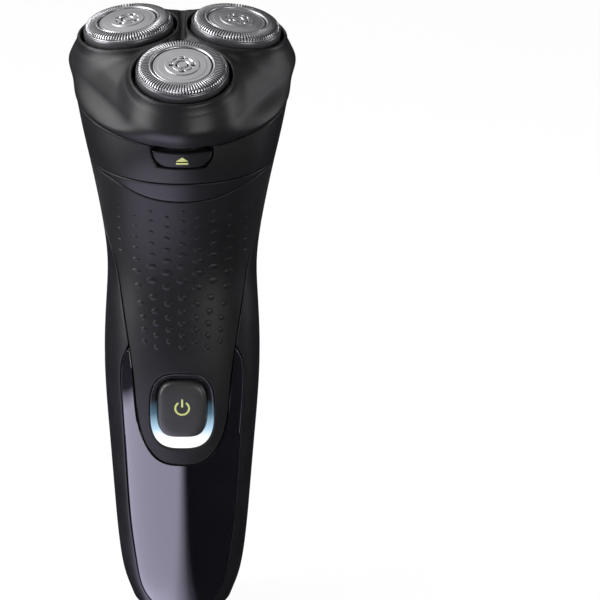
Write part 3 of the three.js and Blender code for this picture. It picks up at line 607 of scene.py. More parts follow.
# A thin round dome of radius 1 and height 1, closed underneath.
def domeMesh(name):
    steps = [(math.sin(a), math.cos(a)) for a in np.radians([0, 22, 45, 66, 82, 90])]
    profile = [(r, h ** 1.3) for r, h in steps] + [(0.98, -0.35), (0, -0.35)]
    return objectFrom(cleaned(*lathe(profile, 20), merge=1e-5), name)


# Geometry Nodes: one shape on every point, turned and sized by the point's own attributes.
def spreadTree(name):
    tree = bpy.data.node_groups.new(name, "GeometryNodeTree")
    groupSocket(tree, "Points", "INPUT", "NodeSocketGeometry")
    shape = groupSocket(tree, "Shape", "INPUT", "NodeSocketObject")
    size = groupSocket(tree, "Size", "INPUT")
    paintWith = groupSocket(tree, "Finish", "INPUT", "NodeSocketMaterial")
    groupSocket(tree, "Pieces", "OUTPUT", "NodeSocketGeometry")
    nodes = tree.nodes
    start, end = nodes.new("NodeGroupInput"), nodes.new("NodeGroupOutput")
    info, place, turn, scale, grow, real, paint, toRotation = (nodes.new(k) for k in (
        "GeometryNodeObjectInfo", "GeometryNodeInstanceOnPoints", "GeometryNodeInputNamedAttribute",
        "GeometryNodeInputNamedAttribute", "ShaderNodeVectorMath", "GeometryNodeRealizeInstances",
        "GeometryNodeSetMaterial", "FunctionNodeEulerToRotation"))
    turn.data_type, scale.data_type = "FLOAT_VECTOR", "FLOAT_VECTOR"
    fill(turn, {"Name": "turn"})
    fill(scale, {"Name": "size"})
    grow.operation = "SCALE"
    wire(tree, (start, "Points", place, "Points"), (start, "Shape", info, "Object"),
         (info, "Geometry", place, "Instance"), (turn, "Attribute", toRotation, "Euler"),
         (toRotation, "Rotation", place, "Rotation"), (scale, "Attribute", grow, 0),
         (start, "Size", grow, "Scale"), (grow, "Vector", place, "Scale"),
         (place, "Instances", real, "Geometry"), (real, "Geometry", paint, "Geometry"),
         (start, "Finish", paint, "Material"), (paint, "Geometry", end, "Pieces"))
    return tree, {"shape": shape.identifier, "size": size.identifier, "finish": paintWith.identifier}


spreadNodes, spreadInputs = spreadTree("spreadShapes")


# Puts the shape on the given places (millimetres) with their rotations and sizes, as one plain mesh.
def spreadPiece(name, shape, places, rotations, sizes, finishOf):
    mesh = bpy.data.meshes.new(name + "Points")
    mesh.from_pydata((np.asarray(places) / 1000).tolist(), [], [])
    for key, rows in (("turn", [m.to_euler() for m in rotations]), ("size", sizes)):
        attribute = mesh.attributes.new(key, "FLOAT_VECTOR", "POINT")
        attribute.data.foreach_set("vector", np.array([list(r) for r in rows], np.float32).ravel())
    holder = linked(bpy.data.objects.new(name + "Points", mesh))
    modifier = holder.modifiers.new("spread", "NODES")
    modifier.node_group = spreadNodes
    modifier[spreadInputs["shape"]] = shape
    modifier[spreadInputs["size"]] = 0.001  # millimetres become metres
    modifier[spreadInputs["finish"]] = finishOf
    graph = bpy.context.evaluated_depsgraph_get()
    made = bpy.data.meshes.new_from_object(holder.evaluated_get(graph), depsgraph=graph)
    made.name = name
    bpy.data.objects.remove(holder)
    return linked(bpy.data.objects.new(name, made))


# A point of the surface and a turn whose axes run sideways, up along the surface, and outwards.
def surfaceFrame(q, h):
    p = handlePoint(q, h)
    across = handlePoint(q + 0.01, h) - handlePoint(q - 0.01, h)
    up = handlePoint(q, h + 0.2) - handlePoint(q, h - 0.2)
    normal = np.cross(across, up)
    normal /= np.linalg.norm(normal)
    across = np.cross(up, normal)
    across /= np.linalg.norm(across)
    return p, Matrix(np.stack([across, np.cross(normal, across), normal], -1).tolist())


def gripDimples():
    d, places, rotations, sizes = dimples, [], [], []
    for column in range(-d["columns"] - 1, d["columns"] + 2):
        for z in d["heights"]:
            if column % 2:
                z = z - d["stagger"]
            x = column * np.interp(z, *d["spread"])
            z -= d["droop"] * column ** 2
            side = np.interp(z, gripSide[:, 1], gripSide[:, 0]) - d["margin"]
            bottom = d["lowest"][0] + d["lowest"][1] * column ** 2
            extra = abs(column) > d["columns"] and not d["short"][0] < z < d["short"][1]
            if abs(x) > side or z < bottom or extra:
                continue
            p, turn = surfaceFrame(*onFront([(x, z)])[0])
            fade = 1 - 0.1 * max(0, abs(column) - 2)
            places.append(p)
            rotations.append(turn)
            sizes.append((fade * np.interp(z, *d["width"]) / 2, fade * np.interp(z, *d["height"]) / 2,
                          d["lift"]))
    piece = spreadPiece("gripDimples", domeMesh("dome"), places, rotations, sizes, softGrip)
    return finish(piece, "handle", softGrip)


gripDimples()
print("dimples made")


# the neck collar, with the recess of the release button, and the hinge behind
release = {
    "half": 7.75, "low": -21.65, "high": -17.4, "taper": 1.6, "depth": 1.2, "bulge": 0.35, "gap": 0.4,
    # the open-here sign, a triangle over a bar: bottom, top, and half width at the bottom and at the top
    "sign": ((-19.55, -18.35, 1.55, 0.0), (-20.45, -20.0, 1.6, 1.6)),
}
hinge = {
    "v": 24.6, "w": -16.2, "r": 1.6, "half": 7.2, "knuckle": 3.8,
    "arm": (21.2, -15.9, -13.6),  # from the knuckle to the cover: front end, bottom and top
    "root": (20.8, 0.9, 4.6, 0.5),  # of the ears: front end, then past the axis, below it and below it
}


# Half width of the release button at a height in the head plane's frame.
def releaseHalf(w, grow=0.0):
    t = np.clip((w - release["low"]) / (release["high"] - release["low"]), 0, 1)
    return release["half"] + grow - release["taper"] * (1 - t) ** 2.2


def neckCollar():
    cols, rows = 240, 40
    q = np.linspace(-2, 2, cols + 1)[:-1]
    h = np.linspace(handle["collar"] + seam / 2, handle["top"] - seam, rows)
    qh = np.stack(np.meshgrid(q, h), -1).reshape(-1, 2)
    faces = gridFaces(rows, cols, closed=True)

    def recess(p):
        local = moved(p, fromHeadPlane)
        side = np.abs(local[:, 0]) - releaseHalf(local[:, 2], release["gap"])
        below = release["low"] - release["gap"] - local[:, 2]
        return np.where(local[:, 1] > 0, 9.0, np.maximum(side, below))  # far from it all round the back
    qh, faces = holeCut(qh, faces, recess, 0.3)
    qh[:, 1] = np.clip(qh[:, 1], h[0], h[-1])
    piece = shellFrom("neckCollar", surfaceOf(qh), faces, 1.8, rim=0.3)
    return finish(piece, "handle", matteCover, ["neck_collar"])


def releaseButton():
    rows, cols = 22, 60
    t, u = np.linspace(0, 1, rows), np.linspace(-1, 1, cols)
    w = release["low"] + (release["high"] - release["low"]) * t
    xw = np.stack([u[None] * releaseHalf(w)[:, None], np.broadcast_to(w[:, None], (rows, cols))], -1)
    # the lower corners are round
    xw[:, :, 1] += (1 - t)[:, None] ** 2 * 0.9 * np.abs(u) ** 6
    out = np.array(headPlane)[:3, 1] * -1
    points = surfaceOf(onFront(xw.reshape(-1, 2), inHeadPlane=True))
    points = points + out * release["bulge"] * (0.4 + 0.6 * np.repeat(t, cols))[:, None]
    piece = shellFrom("releaseButton", points, gridFaces(rows, cols), release["depth"], rim=0.35)
    finish(piece, "release_button", matteCover, ["release_button"])
    lift = release["bulge"] + 0.03
    rows, cols, shapes = 9, 13, []
    t, u = np.linspace(0, 1, rows), np.linspace(-1, 1, cols)
    for low, high, bottom, tip in release["sign"]:
        half = bottom + (tip - bottom) * t
        w = low + (high - low) * t
        grid = np.stack([u[None] * half[:, None], np.broadcast_to(w[:, None], (rows, cols))], -1)
        points = surfaceOf(onFront(grid.reshape(-1, 2), inHeadPlane=True)) + out * lift
        shapes.append((points, gridFaces(rows, cols)))
    sign = shellFrom("releaseSign", *joined(*shapes), 0.25, rim=0.03, steps=1)
    return finish(sign, "release_button", symbolYellow)


def rodAlongX(radius, low, high, y, z, bevel=0.25, around=32):
    soft = 0.3 * bevel
    profile = [(0, high), (radius - bevel, high), (radius - soft, high - soft), (radius, high - bevel),
               (radius, low + bevel), (radius - soft, low + soft), (radius - bevel, low), (0, low)]
    points, faces = lathe(profile, around)
    turned = np.stack([points[:, 2], points[:, 0] + y, points[:, 1] + z], -1)
    return turned, faces


def hingePieces():
    k = hinge
    knuckle = joined(
        rodAlongX(k["r"], -k["knuckle"], k["knuckle"], k["v"], k["w"]),
        roundBox(-k["knuckle"], k["knuckle"], k["arm"][0], k["v"], *k["arm"][1:]))
    piece = plainPiece("hingeKnuckle", moved(knuckle[0], headPlane), knuckle[1])
    finish(piece, "shaving_unit", matteCover)
    ears = []
    front, past, deep, shallow = k["root"]
    for side in (-1, 1):
        low, high = sorted((side * (k["knuckle"] + seam), side * k["half"]))
        ears += [rodAlongX(k["r"], low, high, k["v"], k["w"]),
                 roundBox(low, high, front, k["v"] + past, k["w"] - deep, k["w"] - shallow)]
    ears = joined(*ears)
    piece = plainPiece("hingeEars", moved(ears[0], headPlane), ears[1])
    return finish(piece, "handle", matteCover)


# A box with rounded edges: a cube whose edges are bevelled round.
def roundBox(x0, x1, y0, y1, z0, z1, radius=0.3):
    low, high = np.array([x0, y0, z0], float), np.array([x1, y1, z1], float)
    radius = min(radius, 0.45 * (high - low).min())
    bm = bmesh.new()
    bmesh.ops.create_cube(bm, size=1)
    for v in bm.verts:
        v.co = Vector(np.where(np.array(v.co) < 0, low, high).tolist())
    bmesh.ops.bevel(bm, geom=list(bm.edges), offset=radius, segments=3, profile=0.5, affect="EDGES")
    points = np.array([v.co for v in bm.verts])
    bm.verts.index_update()
    faces = [tuple(v.index for v in f.verts) for f in bm.faces]
    bm.free()
    return points, faces


neckCollar()
releaseButton()
hingePieces()
print("collar made")


# the head cover: a field that is negative inside it, turned into a mesh
cover = {
    "circle": 16.7,  # head centres round the middle
    "lean": 7.7,
    "wall": 1.8,
    "opening": 13.0,
    "seam": (28.3, -1.2, 29.5, 24.0, 1.8),  # half width, centre, front, back and squareness of its oval
    "low": (10.2, 5.7, 15.1),  # depth where the sides turn to the oval, over how far, and their margin
    # margin outside the triangle of head centres, and height
    "body": [(14.9, -24), (15.05, -16), (15.6, -14.9), (16.15, -13.4), (16.25, -11.8), (15.8, -9.9),
             (14.8, -8.0), (13.4, -6.0), (11.7, -4.4), (9.9, -3.1), (8.2, -2.3), (5.0, -1.9), (-9, -1.75)],
    "drum": [(0, -1.9), (13.3, -1.9), (13.65, -2.05), (13.85, -2.4), (13.95, -4.3), (14.05, -4.9),
             (14.4, -5.3), (14.7, -6.2), (15.05, -8), (15.2, -10), (14.4, -12.5), (12, -16.5), (9, -20),
             (0, -20)],
    # the flat between the back heads: half width, front, back, top, depth and softness
    "bridge": (7.4, 2, 18.9, -1.6, 3.2, 1.6),
    "groove": (0.8, 0.5, 0.5, 18.4, 3, 0.5),  # half width, depth, front, back, run-in and softness
    "post": (2.8, -6, -2.2),  # radius, bottom and top
    "openingDepth": 8,
    "openingSoft": 0.35,
    "bottom": -16,
    "step": 0.42,
    "soft": 2.3,
}


# Signed distance to a closed outline, kept on a grid and given as a function that looks it up.
def outlineField(outline, low, high, step=0.08):
    outline = np.array(outline, float)
    x, y = np.meshgrid(*[np.arange(low[k], high[k] + step, step) for k in (0, 1)], indexing="ij")
    best, inside = np.full(x.shape, 1e9), np.zeros(x.shape, bool)
    for (ax, ay), (bx, by) in zip(outline, np.roll(outline, -1, axis=0)):
        dx, dy = bx - ax, by - ay
        t = np.clip(((x - ax) * dx + (y - ay) * dy) / max(dx * dx + dy * dy, 1e-12), 0, 1)
        best = np.minimum(best, np.hypot(x - ax - t * dx, y - ay - t * dy))
        crosses = (ay > y) != (by > y)
        inside ^= crosses & (x < ax + (y - ay) * dx / (dy if dy else 1e-12))
    values = np.where(inside, -best, best)

    def lookUp(x, y):
        u = np.clip((x - low[0]) / step, 0, values.shape[0] - 1.001)
        v = np.clip((y - low[1]) / step, 0, values.shape[1] - 1.001)
        i, j = u.astype(int), v.astype(int)
        u, v = u - i, v - j
        near = values[i, j] * (1 - u) + values[i + 1, j] * u
        far = values[i, j + 1] * (1 - u) + values[i + 1, j + 1] * u
        return near * (1 - v) + far * v

    return lookUp


def softUnion(a, b, k):
    overlap = np.maximum(k - np.abs(a - b), 0) / k
    return np.minimum(a, b) - overlap * overlap * k / 4


def softCut(a, b, k):
    return -softUnion(-a, b, k)


headTurns = [0, 120, 240]
headInPlane = [
    Matrix.Rotation(math.radians(turn), 4, "Z") @ Matrix.Translation((0, -cover["circle"], 0))
    @ Matrix.Rotation(math.radians(cover["lean"]), 4, "X") for turn in headTurns]
toHead = [np.array(m.inverted()) for m in headInPlane]
corners = [cover["circle"] * np.array([math.sin(math.radians(t)), -math.cos(math.radians(t))])
           for t in headTurns]


# How far a point stands outside the triangle of head centres, below 0 inside it.
def outsideTriangle(x, v):
    inward = np.max([(-x * c[0] - v * c[1]) / cover["circle"] for c in corners], axis=0) - cover["circle"] / 2
    outside = np.full(np.shape(x), 1e9)
    for a, b in zip(corners, corners[1:] + corners[:1]):
        d = b - a
        t = np.clip(((x - a[0]) * d[0] + (v - a[1]) * d[1]) / (d @ d), 0, 1)
        outside = np.minimum(outside, np.hypot(x - a[0] - t * d[0], v - a[1] - t * d[1]))
    return np.where(inward < 0, inward, outside)


def outsideOval(x, v):
    half, centre, front, back, power = cover["seam"]
    v = v - centre
    reach = np.where(v < 0, front, back)
    x, v = np.abs(x) / half, np.abs(v) / reach
    size = np.maximum((x ** power + v ** power) ** (1 / power), 1e-6)
    slope = size ** (1 - power) * np.hypot(x ** (power - 1) / half, v ** (power - 1) / reach)
    return (size - 1) / np.maximum(slope, 1e-6)


bodyOutline = [(-9, -24)] + [tuple(p) for p in smoothLine(cover["body"], 90)]
bodyField = outlineField(bodyOutline, (-9.5, -20), (24, 3))
drumField = outlineField(cover["drum"], (0, -20), (24, 3))


# The distance from one head's axis, and the height along it.
def alongHead(m, p):
    a, b, c = (m[k, 0] * p[0] + m[k, 1] * p[1] + m[k, 2] * p[2] + m[k, 3] for k in range(3))
    return np.hypot(a, b), c


def coverOutside(p):
    x, v, w = p
    depth, run, margin = cover["low"]
    low = ease((-w - depth) / run)
    field = bodyField(outsideTriangle(x, v) * (1 - low) + (outsideOval(x, v) + margin) * low, w)
    for m in toHead:
        field = softUnion(field, drumField(*alongHead(m, p)), cover["soft"])
    half, start, end, top, thick, soft = cover["bridge"]
    block = np.maximum.reduce([np.abs(x) - half, v - end, start - v, w - top, top - thick - w])
    field = softUnion(field, block, soft)
    half, depth, start, end, run, soft = cover["groove"]
    fade = depth * ease((v - start) / run)
    return softCut(field, np.maximum.reduce([np.abs(x) - half, start - v, v - end, -field - fade]), soft)


def coverField(p):
    x, v, w = p
    outside = coverOutside(p)
    field = np.maximum(outside, -(outside + cover["wall"]))
    radius, low, high = cover["post"]
    field = np.minimum(field, np.maximum.reduce([np.hypot(x, v) - radius, low - w, w - high]))
    for m in toHead:
        away, height = alongHead(m, p)
        opening = np.maximum(away - cover["opening"], -cover["openingDepth"] - height)
        field = softCut(field, opening, cover["openingSoft"])
    return np.maximum(field, cover["bottom"] - w)


# A mesh where a field crosses zero: one point for each cell it passes through, then drawn onto the surface.
def fieldMesh(field, low, high, step):
    axes = [np.arange(low[k], high[k] + step, step) for k in range(3)]
    values = field(np.meshgrid(*axes, indexing="ij"))
    inside = values < 0
    shape = np.array(values.shape)
    total, hits = np.zeros((*(shape - 1), 3)), np.zeros(shape - 1)
    base = np.stack(np.meshgrid(*[np.arange(n - 1) for n in shape], indexing="ij"), -1).astype(float)
    crossings = []
    for axis in range(3):
        near = [slice(None)] * 3
        far = [slice(None)] * 3
        near[axis], far[axis] = slice(0, -1), slice(1, None)
        a, b = values[tuple(near)], values[tuple(far)]
        crosses = inside[tuple(near)] != inside[tuple(far)]
        share = np.where(crosses, a / np.where(crosses, a - b, 1), 0)
        crossings.append((crosses, inside[tuple(near)]))
        others = [k for k in range(3) if k != axis]
        for da in (0, 1):
            for db in (0, 1):
                cut = [slice(None)] * 3
                cut[others[0]] = slice(da, shape[others[0]] - 1 + da)
                cut[others[1]] = slice(db, shape[others[1]] - 1 + db)
                hit, along = crosses[tuple(cut)], share[tuple(cut)]
                hits += hit
                total[..., axis] += hit * along
                total[..., others[0]] += hit * da
                total[..., others[1]] += hit * db
    used = hits > 0
    number = np.full(hits.shape, -1)
    number[used] = np.arange(used.sum())
    points = (base[used] + total[used] / hits[used][:, None]) * step + np.array([a[0] for a in axes])
    quads = []
    for axis, (crosses, startsInside) in enumerate(crossings):
        i = np.argwhere(crosses)
        u, v = (axis + 1) % 3, (axis + 2) % 3
        i = i[(i[:, u] > 0) & (i[:, v] > 0) & (i[:, u] < shape[u] - 1) & (i[:, v] < shape[v] - 1)]
        four = []
        for du, dv in ((-1, -1), (0, -1), (0, 0), (-1, 0)):
            j = i.copy()
            j[:, u] += du
            j[:, v] += dv
            four.append(number[tuple(j.T)])
        four = np.stack(four, -1)
        outward = startsInside[tuple(i.T)]
        quads.append(np.where(outward[:, None], four, four[:, ::-1]))
    points = points.T
    for _ in range(4):
        value = field(points)
        near = lambda j, by: field([points[k] + (by if k == j else 0) for k in range(3)])
        slope = np.stack([(near(j, 0.02) - near(j, -0.02)) / 0.04 for j in range(3)])
        move = value * slope / np.maximum((slope ** 2).sum(0), 0.2)
        points = points - np.clip(move, -0.3, 0.3)
    return points.T, [tuple(q) for q in np.concatenate(quads).tolist()]


def headCover():
    points, faces = fieldMesh(coverField, (-31.5, -34, -16.8), (31.5, 26, 2.0), cover["step"])
    piece = plainPiece("headCover", moved(points, headPlane), faces)
    print("head cover faces:", len(piece.data.polygons))
    return finish(piece, "shaving_unit", matteCover, ["head_cover"])


headCover()
print("head cover made")


# the shaving heads
head = {
    "rim": [(11.6, -0.62), (11.64, -0.45), (11.74, -0.38), (11.88, -0.48), (11.98, -0.85), (12.05, -2.7),
            (11.95, -2.88), (10.4, -2.9), (10.2, -2.75), (10.2, -2.3), (11.52, -2.3), (11.6, -2.1),
            (11.6, -0.62)],
    "innerRing": [(7.95, -0.1), (7.95, 0.6), (8.06, 0.82), (8.3, 0.93), (8.6, 0.95), (8.6, 0.5),
                  (8.25, 0.3), (8.25, -0.1), (7.95, -0.1)],
    "skirt": [(11.1, -0.42), (11.42, -0.3), (11.5, -0.42), (11.5, -1.95), (11.4, -2.0), (11.1, -2.0),
              (11.1, -0.42)],
    "bar": [(8.5, 0.92), (9.2, 0.98), (10.1, 0.93), (10.75, 0.76), (11.15, 0.5), (11.38, 0.14),
            (11.48, -0.4)],
    # a black disc under the middle disc: painted shade that shows in its holes and hub groove
    "openings": [(0, 0.5), (3.5, 0.5), (3.56, 0.44), (3.56, 0.36), (3.5, 0.3), (0, 0.3)],
    "bars": 90,
    "barShare": 0.6,  # metal share of each step round the track
    "barThick": 0.3,
    "disc": {"radius": 7.6, "plate": 4.5, "hub": 1.3, "groove": 1.75, "hole": 2.85, "holeHalf": 0.62,
             "slit": 2.9, "slitHalf": 0.15, "slitTurn": 0.32, "face": 1.0, "dish": 0.02,
             "hubDepth": 0.7, "plateStep": 0.2, "holeDepth": 0.8, "slitDepth": 0.75,
             "slope": (4.6, 0.035),  # where the outer part starts to fall, and how steeply
             "ring": (6.35, 7.2, 0.05)},  # a shallow ring: its two edges and depth
}


# One bar of the slotted track, standing along X from the head's axis.
def barMesh():
    path = np.array(head["bar"])
    along = np.gradient(path, axis=0)
    along /= np.linalg.norm(along, axis=1, keepdims=True)
    down = np.stack([along[:, 1], -along[:, 0]], -1)
    half = path[:, 0] * math.pi / head["bars"] * head["barShare"]
    rows = []
    # depth and half width at the bottom, at the widest place and on top
    profile = ((head["barThick"], 0.7), (0.06, 1), (0, 0.55))
    for (r, z), (dr, dz), w in zip(path, down, half):
        rows += [(r + dr * t, w * s, z + dz * t) for t, s in profile]
        rows += [(r + dr * t, -w * s, z + dz * t) for t, s in profile[::-1]]
    count = len(path)
    faces = gridFaces(count, 6, closed=True) + [tuple(range(6))[::-1], tuple(range(6 * count - 6, 6 * count))]
    bm = cleaned(rows, faces, merge=1e-5)
    bmesh.ops.recalc_face_normals(bm, faces=bm.faces)
    return objectFrom(bm, "capBar", smooth=False)


# How high the middle disc's face stands at a radius and an angle.
def discHeight(r, angle):
    d = head["disc"]
    step = lambda at, width=0.08: ease((r - at) / width + 0.5)
    face = d["face"] - d["dish"] * (r / 4) ** 2
    groove = step(d["hub"]) * (1 - step(d["groove"]))
    face = face - d["hubDepth"] * groove - d["plateStep"] * step(d["plate"], 0.14)
    (start, slope), (inner, outer, depth) = d["slope"], d["ring"]
    face = face - slope * np.maximum(r - start, 0) - depth * step(inner, 0.1) + depth * step(outer, 0.1)
    quarter = (angle + math.pi / 4) % (math.pi / 2) - math.pi / 4
    across, out = np.abs(r * np.sin(quarter)), np.abs(r * np.cos(quarter) - d["hole"])
    hole = ((across / d["holeHalf"]) ** 3 + (out / (0.8 * d["holeHalf"])) ** 3) ** (1 / 3)
    face = face - d["holeDepth"] * (1 - ease((hole - 1) / 0.18 + 0.5))
    turned = angle % (math.pi / 2) - math.pi / 4
    slit = np.maximum(np.abs(r - d["slit"]) / d["slitHalf"], np.abs(turned) / d["slitTurn"])
    return face - d["slitDepth"] * (1 - ease((slit - 1) / 0.3 + 0.5))


def discShape():
    radii = np.concatenate([[0.0], np.arange(0.1, 7.35, 0.085), [7.42, 7.5, 7.56, 7.6]])
    around = 176
    angle = np.linspace(0, 2 * math.pi, around, endpoint=False)
    r, a = np.meshgrid(radii, angle, indexing="ij")
    z = discHeight(r, a)
    z[-4:] -= np.array([0.01, 0.04, 0.1, 0.2])[:, None]
    under = [(7.6, -0.25), (7.55, -0.3), (0.0, -0.3)]
    for radius, depth in under:
        r = np.concatenate([r, np.full((1, around), radius)])
        z = np.concatenate([z, np.full((1, around), depth)])
        a = np.concatenate([a, a[:1]])
    points = np.stack([r * np.cos(a), r * np.sin(a), z], -1).reshape(-1, 3)
    return points, gridFaces(len(r), around, closed=True)


# The distance from a head's axis as V, for the rings that turning leaves.
def ringUv(obj, matrix):
    inverse = np.array(matrix.inverted())

    def uvOf(points):
        local = moved(points, inverse)
        x, y = local[:, 0], local[:, 1]
        return np.stack([np.arctan2(y, x) / (2 * math.pi), np.hypot(x, y) / 15], -1)
    withUv(obj, uvOf)


def shavingHeads():
    bar = barMesh()
    disc = discShape()
    for n, inPlane in enumerate(headInPlane, 1):
        place, body = headPlane @ inPlane, f"cap_{n}"
        points, faces = lathe(head["rim"], 144)
        rim = plainPiece(f"capRim_{n}", moved(points, place), [f[::-1] for f in faces])
        finish(rim, body, rimGrey, [f"cap_rim_{n}"])
        rings = joined(lathe(head["innerRing"], 144), lathe(head["skirt"], 144))
        cap = plainPiece(f"shavingCap_{n}", moved(rings[0], place), [f[::-1] for f in rings[1]])
        ringUv(cap, place)
        finish(cap, body, turnedSteel, [f"shaving_cap_{n}"])
        turn = place.to_3x3()
        spins = [turn @ Matrix.Rotation(2 * math.pi * k / head["bars"], 3, "Z") for k in range(head["bars"])]
        track = spreadPiece(f"capTrack_{n}", bar, [place.translation] * head["bars"], spins,
                            [(1, 1, 1)] * head["bars"], steel)
        finish(track, body, steel)
        middle = plainPiece(f"capDisc_{n}", moved(disc[0], place), disc[1])
        ringUv(middle, place)
        finish(middle, body, turnedSteel, [f"cap_disc_{n}"])
        # a black disc that shows as painted shade in the holes and groove of the middle disc
        openings = lathe(head["openings"], 96)
        under = plainPiece(f"capOpenings_{n}", moved(openings[0], place), openings[1])
        finish(under, body, sealRubber)


shavingHeads()
print("shaving heads made")


# the power button with its sign, and the light round it
button = {
    "half": 6.6, "tall": 8.1, "power": 3.6, "z": 66.75,
    # share of the outline, and place from front to back
    "profile": [(0, -18.40), (0.45, -18.44), (0.74, -18.46), (0.86, -18.38), (0.93, -18.16), (0.97, -17.82),
                (0.992, -17.3), (1, -16.7), (1, -15.75), (0.9, -15.72), (0, -15.72)],
    "sign": {"radius": 1.85, "stroke": 0.52, "open": 33, "bar": (0.3, 2.6), "up": 0.7},
}


def superRing(half, tall, power, count, z0):
    a = np.linspace(0, 2 * math.pi, count, endpoint=False)
    c, s = (np.sign(k) * np.abs(k) ** (2 / power) for k in (np.cos(a), np.sin(a)))
    return np.stack([half * c, z0 + tall * s], -1)


def powerButton():
    b, around = button, 120
    outline = superRing(b["half"], b["tall"], b["power"], around, 0)
    rows = [np.stack([outline[:, 0] * s, np.full(around, y), b["z"] + outline[:, 1] * s], -1)
            for s, y in b["profile"]]
    cap = plainPiece("powerButton", np.concatenate(rows), gridFaces(len(rows), around, closed=True))
    finish(cap, "power_button", buttonBlack, ["power_button"])
    sign = b["sign"]
    face = min(y for _, y in b["profile"])
    z0 = b["z"] + sign["up"]
    rows, cols = 5, 60
    across = sign["stroke"] * np.linspace(-0.5, 0.5, rows)
    angle = np.radians(np.linspace(90 + sign["open"], 450 - sign["open"], cols))
    radius = (sign["radius"] + across)[:, None]
    arc = np.stack([radius * np.cos(angle), np.full((rows, cols), face), z0 + radius * np.sin(angle)], -1)
    x, z = np.meshgrid(across, np.linspace(*sign["bar"], 12))
    bar = np.stack([x, np.full(x.shape, face), z0 + z], -1)
    shapes = joined((arc.reshape(-1, 3), [f[::-1] for f in gridFaces(rows, cols)]),
                    (bar.reshape(-1, 3), gridFaces(12, rows)))
    mark = shellFrom("powerSign", *shapes, 0.12, rim=0.03, steps=1)
    return finish(mark, "power_button", symbolYellow)


def lightRing():
    w, b, around, gap = lightWindow, button, 144, 0.25
    outer = superRing(w["half"] - gap, w["tall"] - gap, w["power"], around, w["z"])
    inner = superRing(b["half"] + gap, b["tall"] + gap, b["power"], around, b["z"])
    rows = []
    for t, depth in ((0, 0.30), (0.08, 0.26), (0.2, 0.34), (0.4, 0.62), (0.7, 1.05), (1, 1.5)):
        flat = outer * (1 - t) + inner * t
        rows.append(surfaceOf(onFront(flat)) + [0, depth, 0])
    faces = gridFaces(len(rows), around, closed=True)
    ring = shellFrom("lightRing", np.concatenate(rows), faces, 0.7, rim=0.08)
    return finish(ring, "handle", lightGuide, ["light_ring"])


powerButton()
lightRing()
print("button and light made")

# finishes for the CAD pieces that stay
kept = [
    (innerGrey, ("front_housing", "chassis", "gear_plate", "chamber_floor", "power_switch", "motor_end_bell",
                 "cap_carrier", "release_latch", "retaining_frame")),
    (cutterGrey, ("frame_lock", "cutter")), (boardGreen, ("circuit_board",)), (lightGuide, ("status_led",)),
    (batteryWrap, ("battery_cell",)), (contactBrass, ("contact_pin", "motor_pinion")),
    (steel, ("motor_can", "motor_shaft", "hinge_pin", "drive_spindle", "floor_screw")),
    (gearWhite, ("centre_gear", "drive_gear")), (sealRubber, ("spindle_seal",)),
    (matteCover, ("charging_socket",)),
]
for name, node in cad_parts.items():
    plain = name.rstrip("0123456789").rstrip("_")
    for finishOf, names in kept:
        if plain in names and not node.hide_render:
            node.data.materials.clear()
            node.data.materials.append(finishOf)


# camera, light and floor
studio = {
    "aim": headMiddle,
    "distance": 620,
    "height": 12.8,  # how far above the head's plane the camera looks from, in degrees
    "pitch": 19.2,
    "lens": 140.7,
    "shift": 0.1963,
}
camera = linked(bpy.data.objects.new("camera", bpy.data.cameras.new("camera")))
camera.data.lens, camera.data.sensor_width, camera.data.shift_x = studio["lens"], 36, studio["shift"]
camera.data.clip_start, camera.data.clip_end = 0.01, 20
rise = math.radians(studio["height"])
back = studio["distance"] * Vector((0, -math.cos(rise), math.sin(rise)))
camera.location = (Vector(studio["aim"]) + back) / 1000
camera.rotation_euler = (math.radians(90 - studio["pitch"]), 0, 0)
bpy.context.scene.camera = camera

lamps = {
    # name: (place, aimed at, width, height, watts, colour), all in metres
    "leftBox": ((-0.62, -0.16, 0.24), (0, 0, 0.08), 0.40, 0.8, 6.0, (1.0, 0.98, 1.0)),
    "topBox": ((-0.35, 0.30, 0.95), (0, 0, 0.15), 1.5, 1.4, 4.0, (1.0, 1.0, 1.0)),
    "leftTop": ((-0.45, 0.05, 0.60), (0, 0, 0.15), 0.30, 0.35, 1.5, (1.0, 1.0, 1.0)),
    "rightRim": ((0.60, 0.12, 0.22), (0, 0, 0.08), 0.15, 0.6, 1.0, (0.97, 0.97, 1.0)),
    "frontFill": ((0.45, -0.75, 0.16), (0, 0, 0.06), 0.5, 0.3, 2.4, (1.0, 1.0, 1.0)),
}
for name, (place, target, width, tall, watts, colour) in lamps.items():
    lamp = bpy.data.lights.new(name, "AREA")
    lamp.shape, lamp.size, lamp.size_y, lamp.energy, lamp.color = "RECTANGLE", width, tall, watts, colour
    holder = linked(bpy.data.objects.new(name, lamp))
    holder.location = place
    holder.rotation_euler = (Vector(target) - Vector(place)).to_track_quat("-Z", "Y").to_euler()
    holder.visible_camera = False

world = bpy.data.worlds.new("studio")
bpy.context.scene.world = world
world.use_nodes = True
air = world.node_tree.nodes["Background"]
fill(air, {"Color": (0.9, 0.9, 0.92, 1), "Strength": 0.07})


floorLook = {
    "half": 4,  # metres
    "white": 1.06,  # strength of the white that the camera sees
    "whiteShare": 0.9,  # how much of it is mixed over the floor's own shading
    "mirrored": 2.1,  # strength of what reflections see
    "across": (-0.4, 0.4),  # where the colours seen in reflections start and end along X, in metres
    "strip": (0.096, 0.091),  # how far in front the lit strip lies, and half its width
    "unlit": (0.008, 0.008, 0.010, 1),
    "left": (0.006, 0.006, 0.008),
    "right": (0.020, 0.020, 0.022),
    # share of the way across, and colour
    "between": ((0.27, (0.04, 0.038, 0.050)), (0.31, (1.05, 1.0, 1.30)), (0.495, (0.95, 0.90, 1.20)),
                (0.505, (0.008, 0.0075, 0.010))),
}


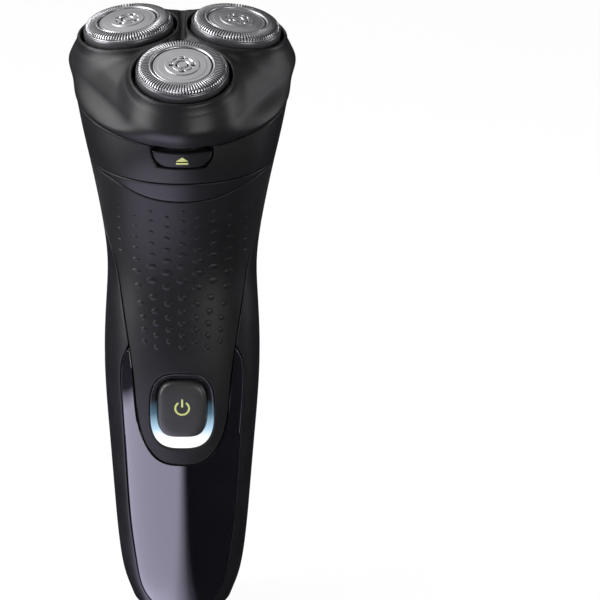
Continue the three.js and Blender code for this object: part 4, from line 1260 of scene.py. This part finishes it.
# The camera sees an even white floor. Reflections see a lit strip to the left and near black elsewhere.
def floorMaterial():
    look = floorLook
    made = bpy.data.materials.new("paleFloor")
    made.use_nodes = True
    tree = made.node_tree
    shader, end = tree.nodes["Principled BSDF"], tree.nodes["Material Output"]
    fill(shader, {"Base Color": (0.85, 0.85, 0.86, 1), "Roughness": 0.9})
    path, place, split, side, ramp, white, mirrored, seen, mirror, strip, dim, away, share = (
        tree.nodes.new("ShaderNode" + k) for k in (
            "LightPath", "TexCoord", "SeparateXYZ", "MapRange", "ValToRGB", "Emission", "Emission",
            "MixShader", "MixShader", "Math", "Mix", "Math", "Math"))
    fill(white, {"Strength": look["white"]})
    fill(mirrored, {"Strength": look["mirrored"]})
    fill(side, {"From Min": look["across"][0], "From Max": look["across"][1]})
    fillRamp(ramp, look["left"], look["right"], look["between"])
    strip.operation, away.operation, share.operation = "COMPARE", "MULTIPLY", "MULTIPLY"
    fill(strip, {1: look["strip"][0], 2: look["strip"][1]})
    fill(away, {1: -1.0})
    fill(share, {1: look["whiteShare"]})
    dim.data_type = "RGBA"
    fill(dim, {"A": look["unlit"]})
    wire(tree, (split, "Y", away, 0), (away, "Value", strip, 0), (strip, "Value", dim, "Factor"),
         (ramp, "Color", dim, "B"), (place, "Object", split, "Vector"), (split, "X", side, "Value"),
         (side, "Result", ramp, "Fac"), (dim, "Result", mirrored, "Color"),
         (path, "Is Glossy Ray", mirror, "Fac"), (shader, "BSDF", mirror, 1),
         (mirrored, "Emission", mirror, 2), (path, "Is Camera Ray", share, 0), (share, "Value", seen, "Fac"),
         (mirror, "Shader", seen, 1), (white, "Emission", seen, 2), (seen, "Shader", end, "Surface"))
    return made


floorMesh = bpy.data.meshes.new("floor")
floorMesh.from_pydata([(x * floorLook["half"], y * floorLook["half"], 0) for x, y in (
    (-1, -1), (1, -1), (1, 1), (-1, 1))], [], [(0, 1, 2, 3)])
floor = linked(bpy.data.objects.new("floor", floorMesh))
floorMesh.materials.append(floorMaterial())
bpy.context.scene.view_settings.view_transform = "Standard"
print("camera and light set")
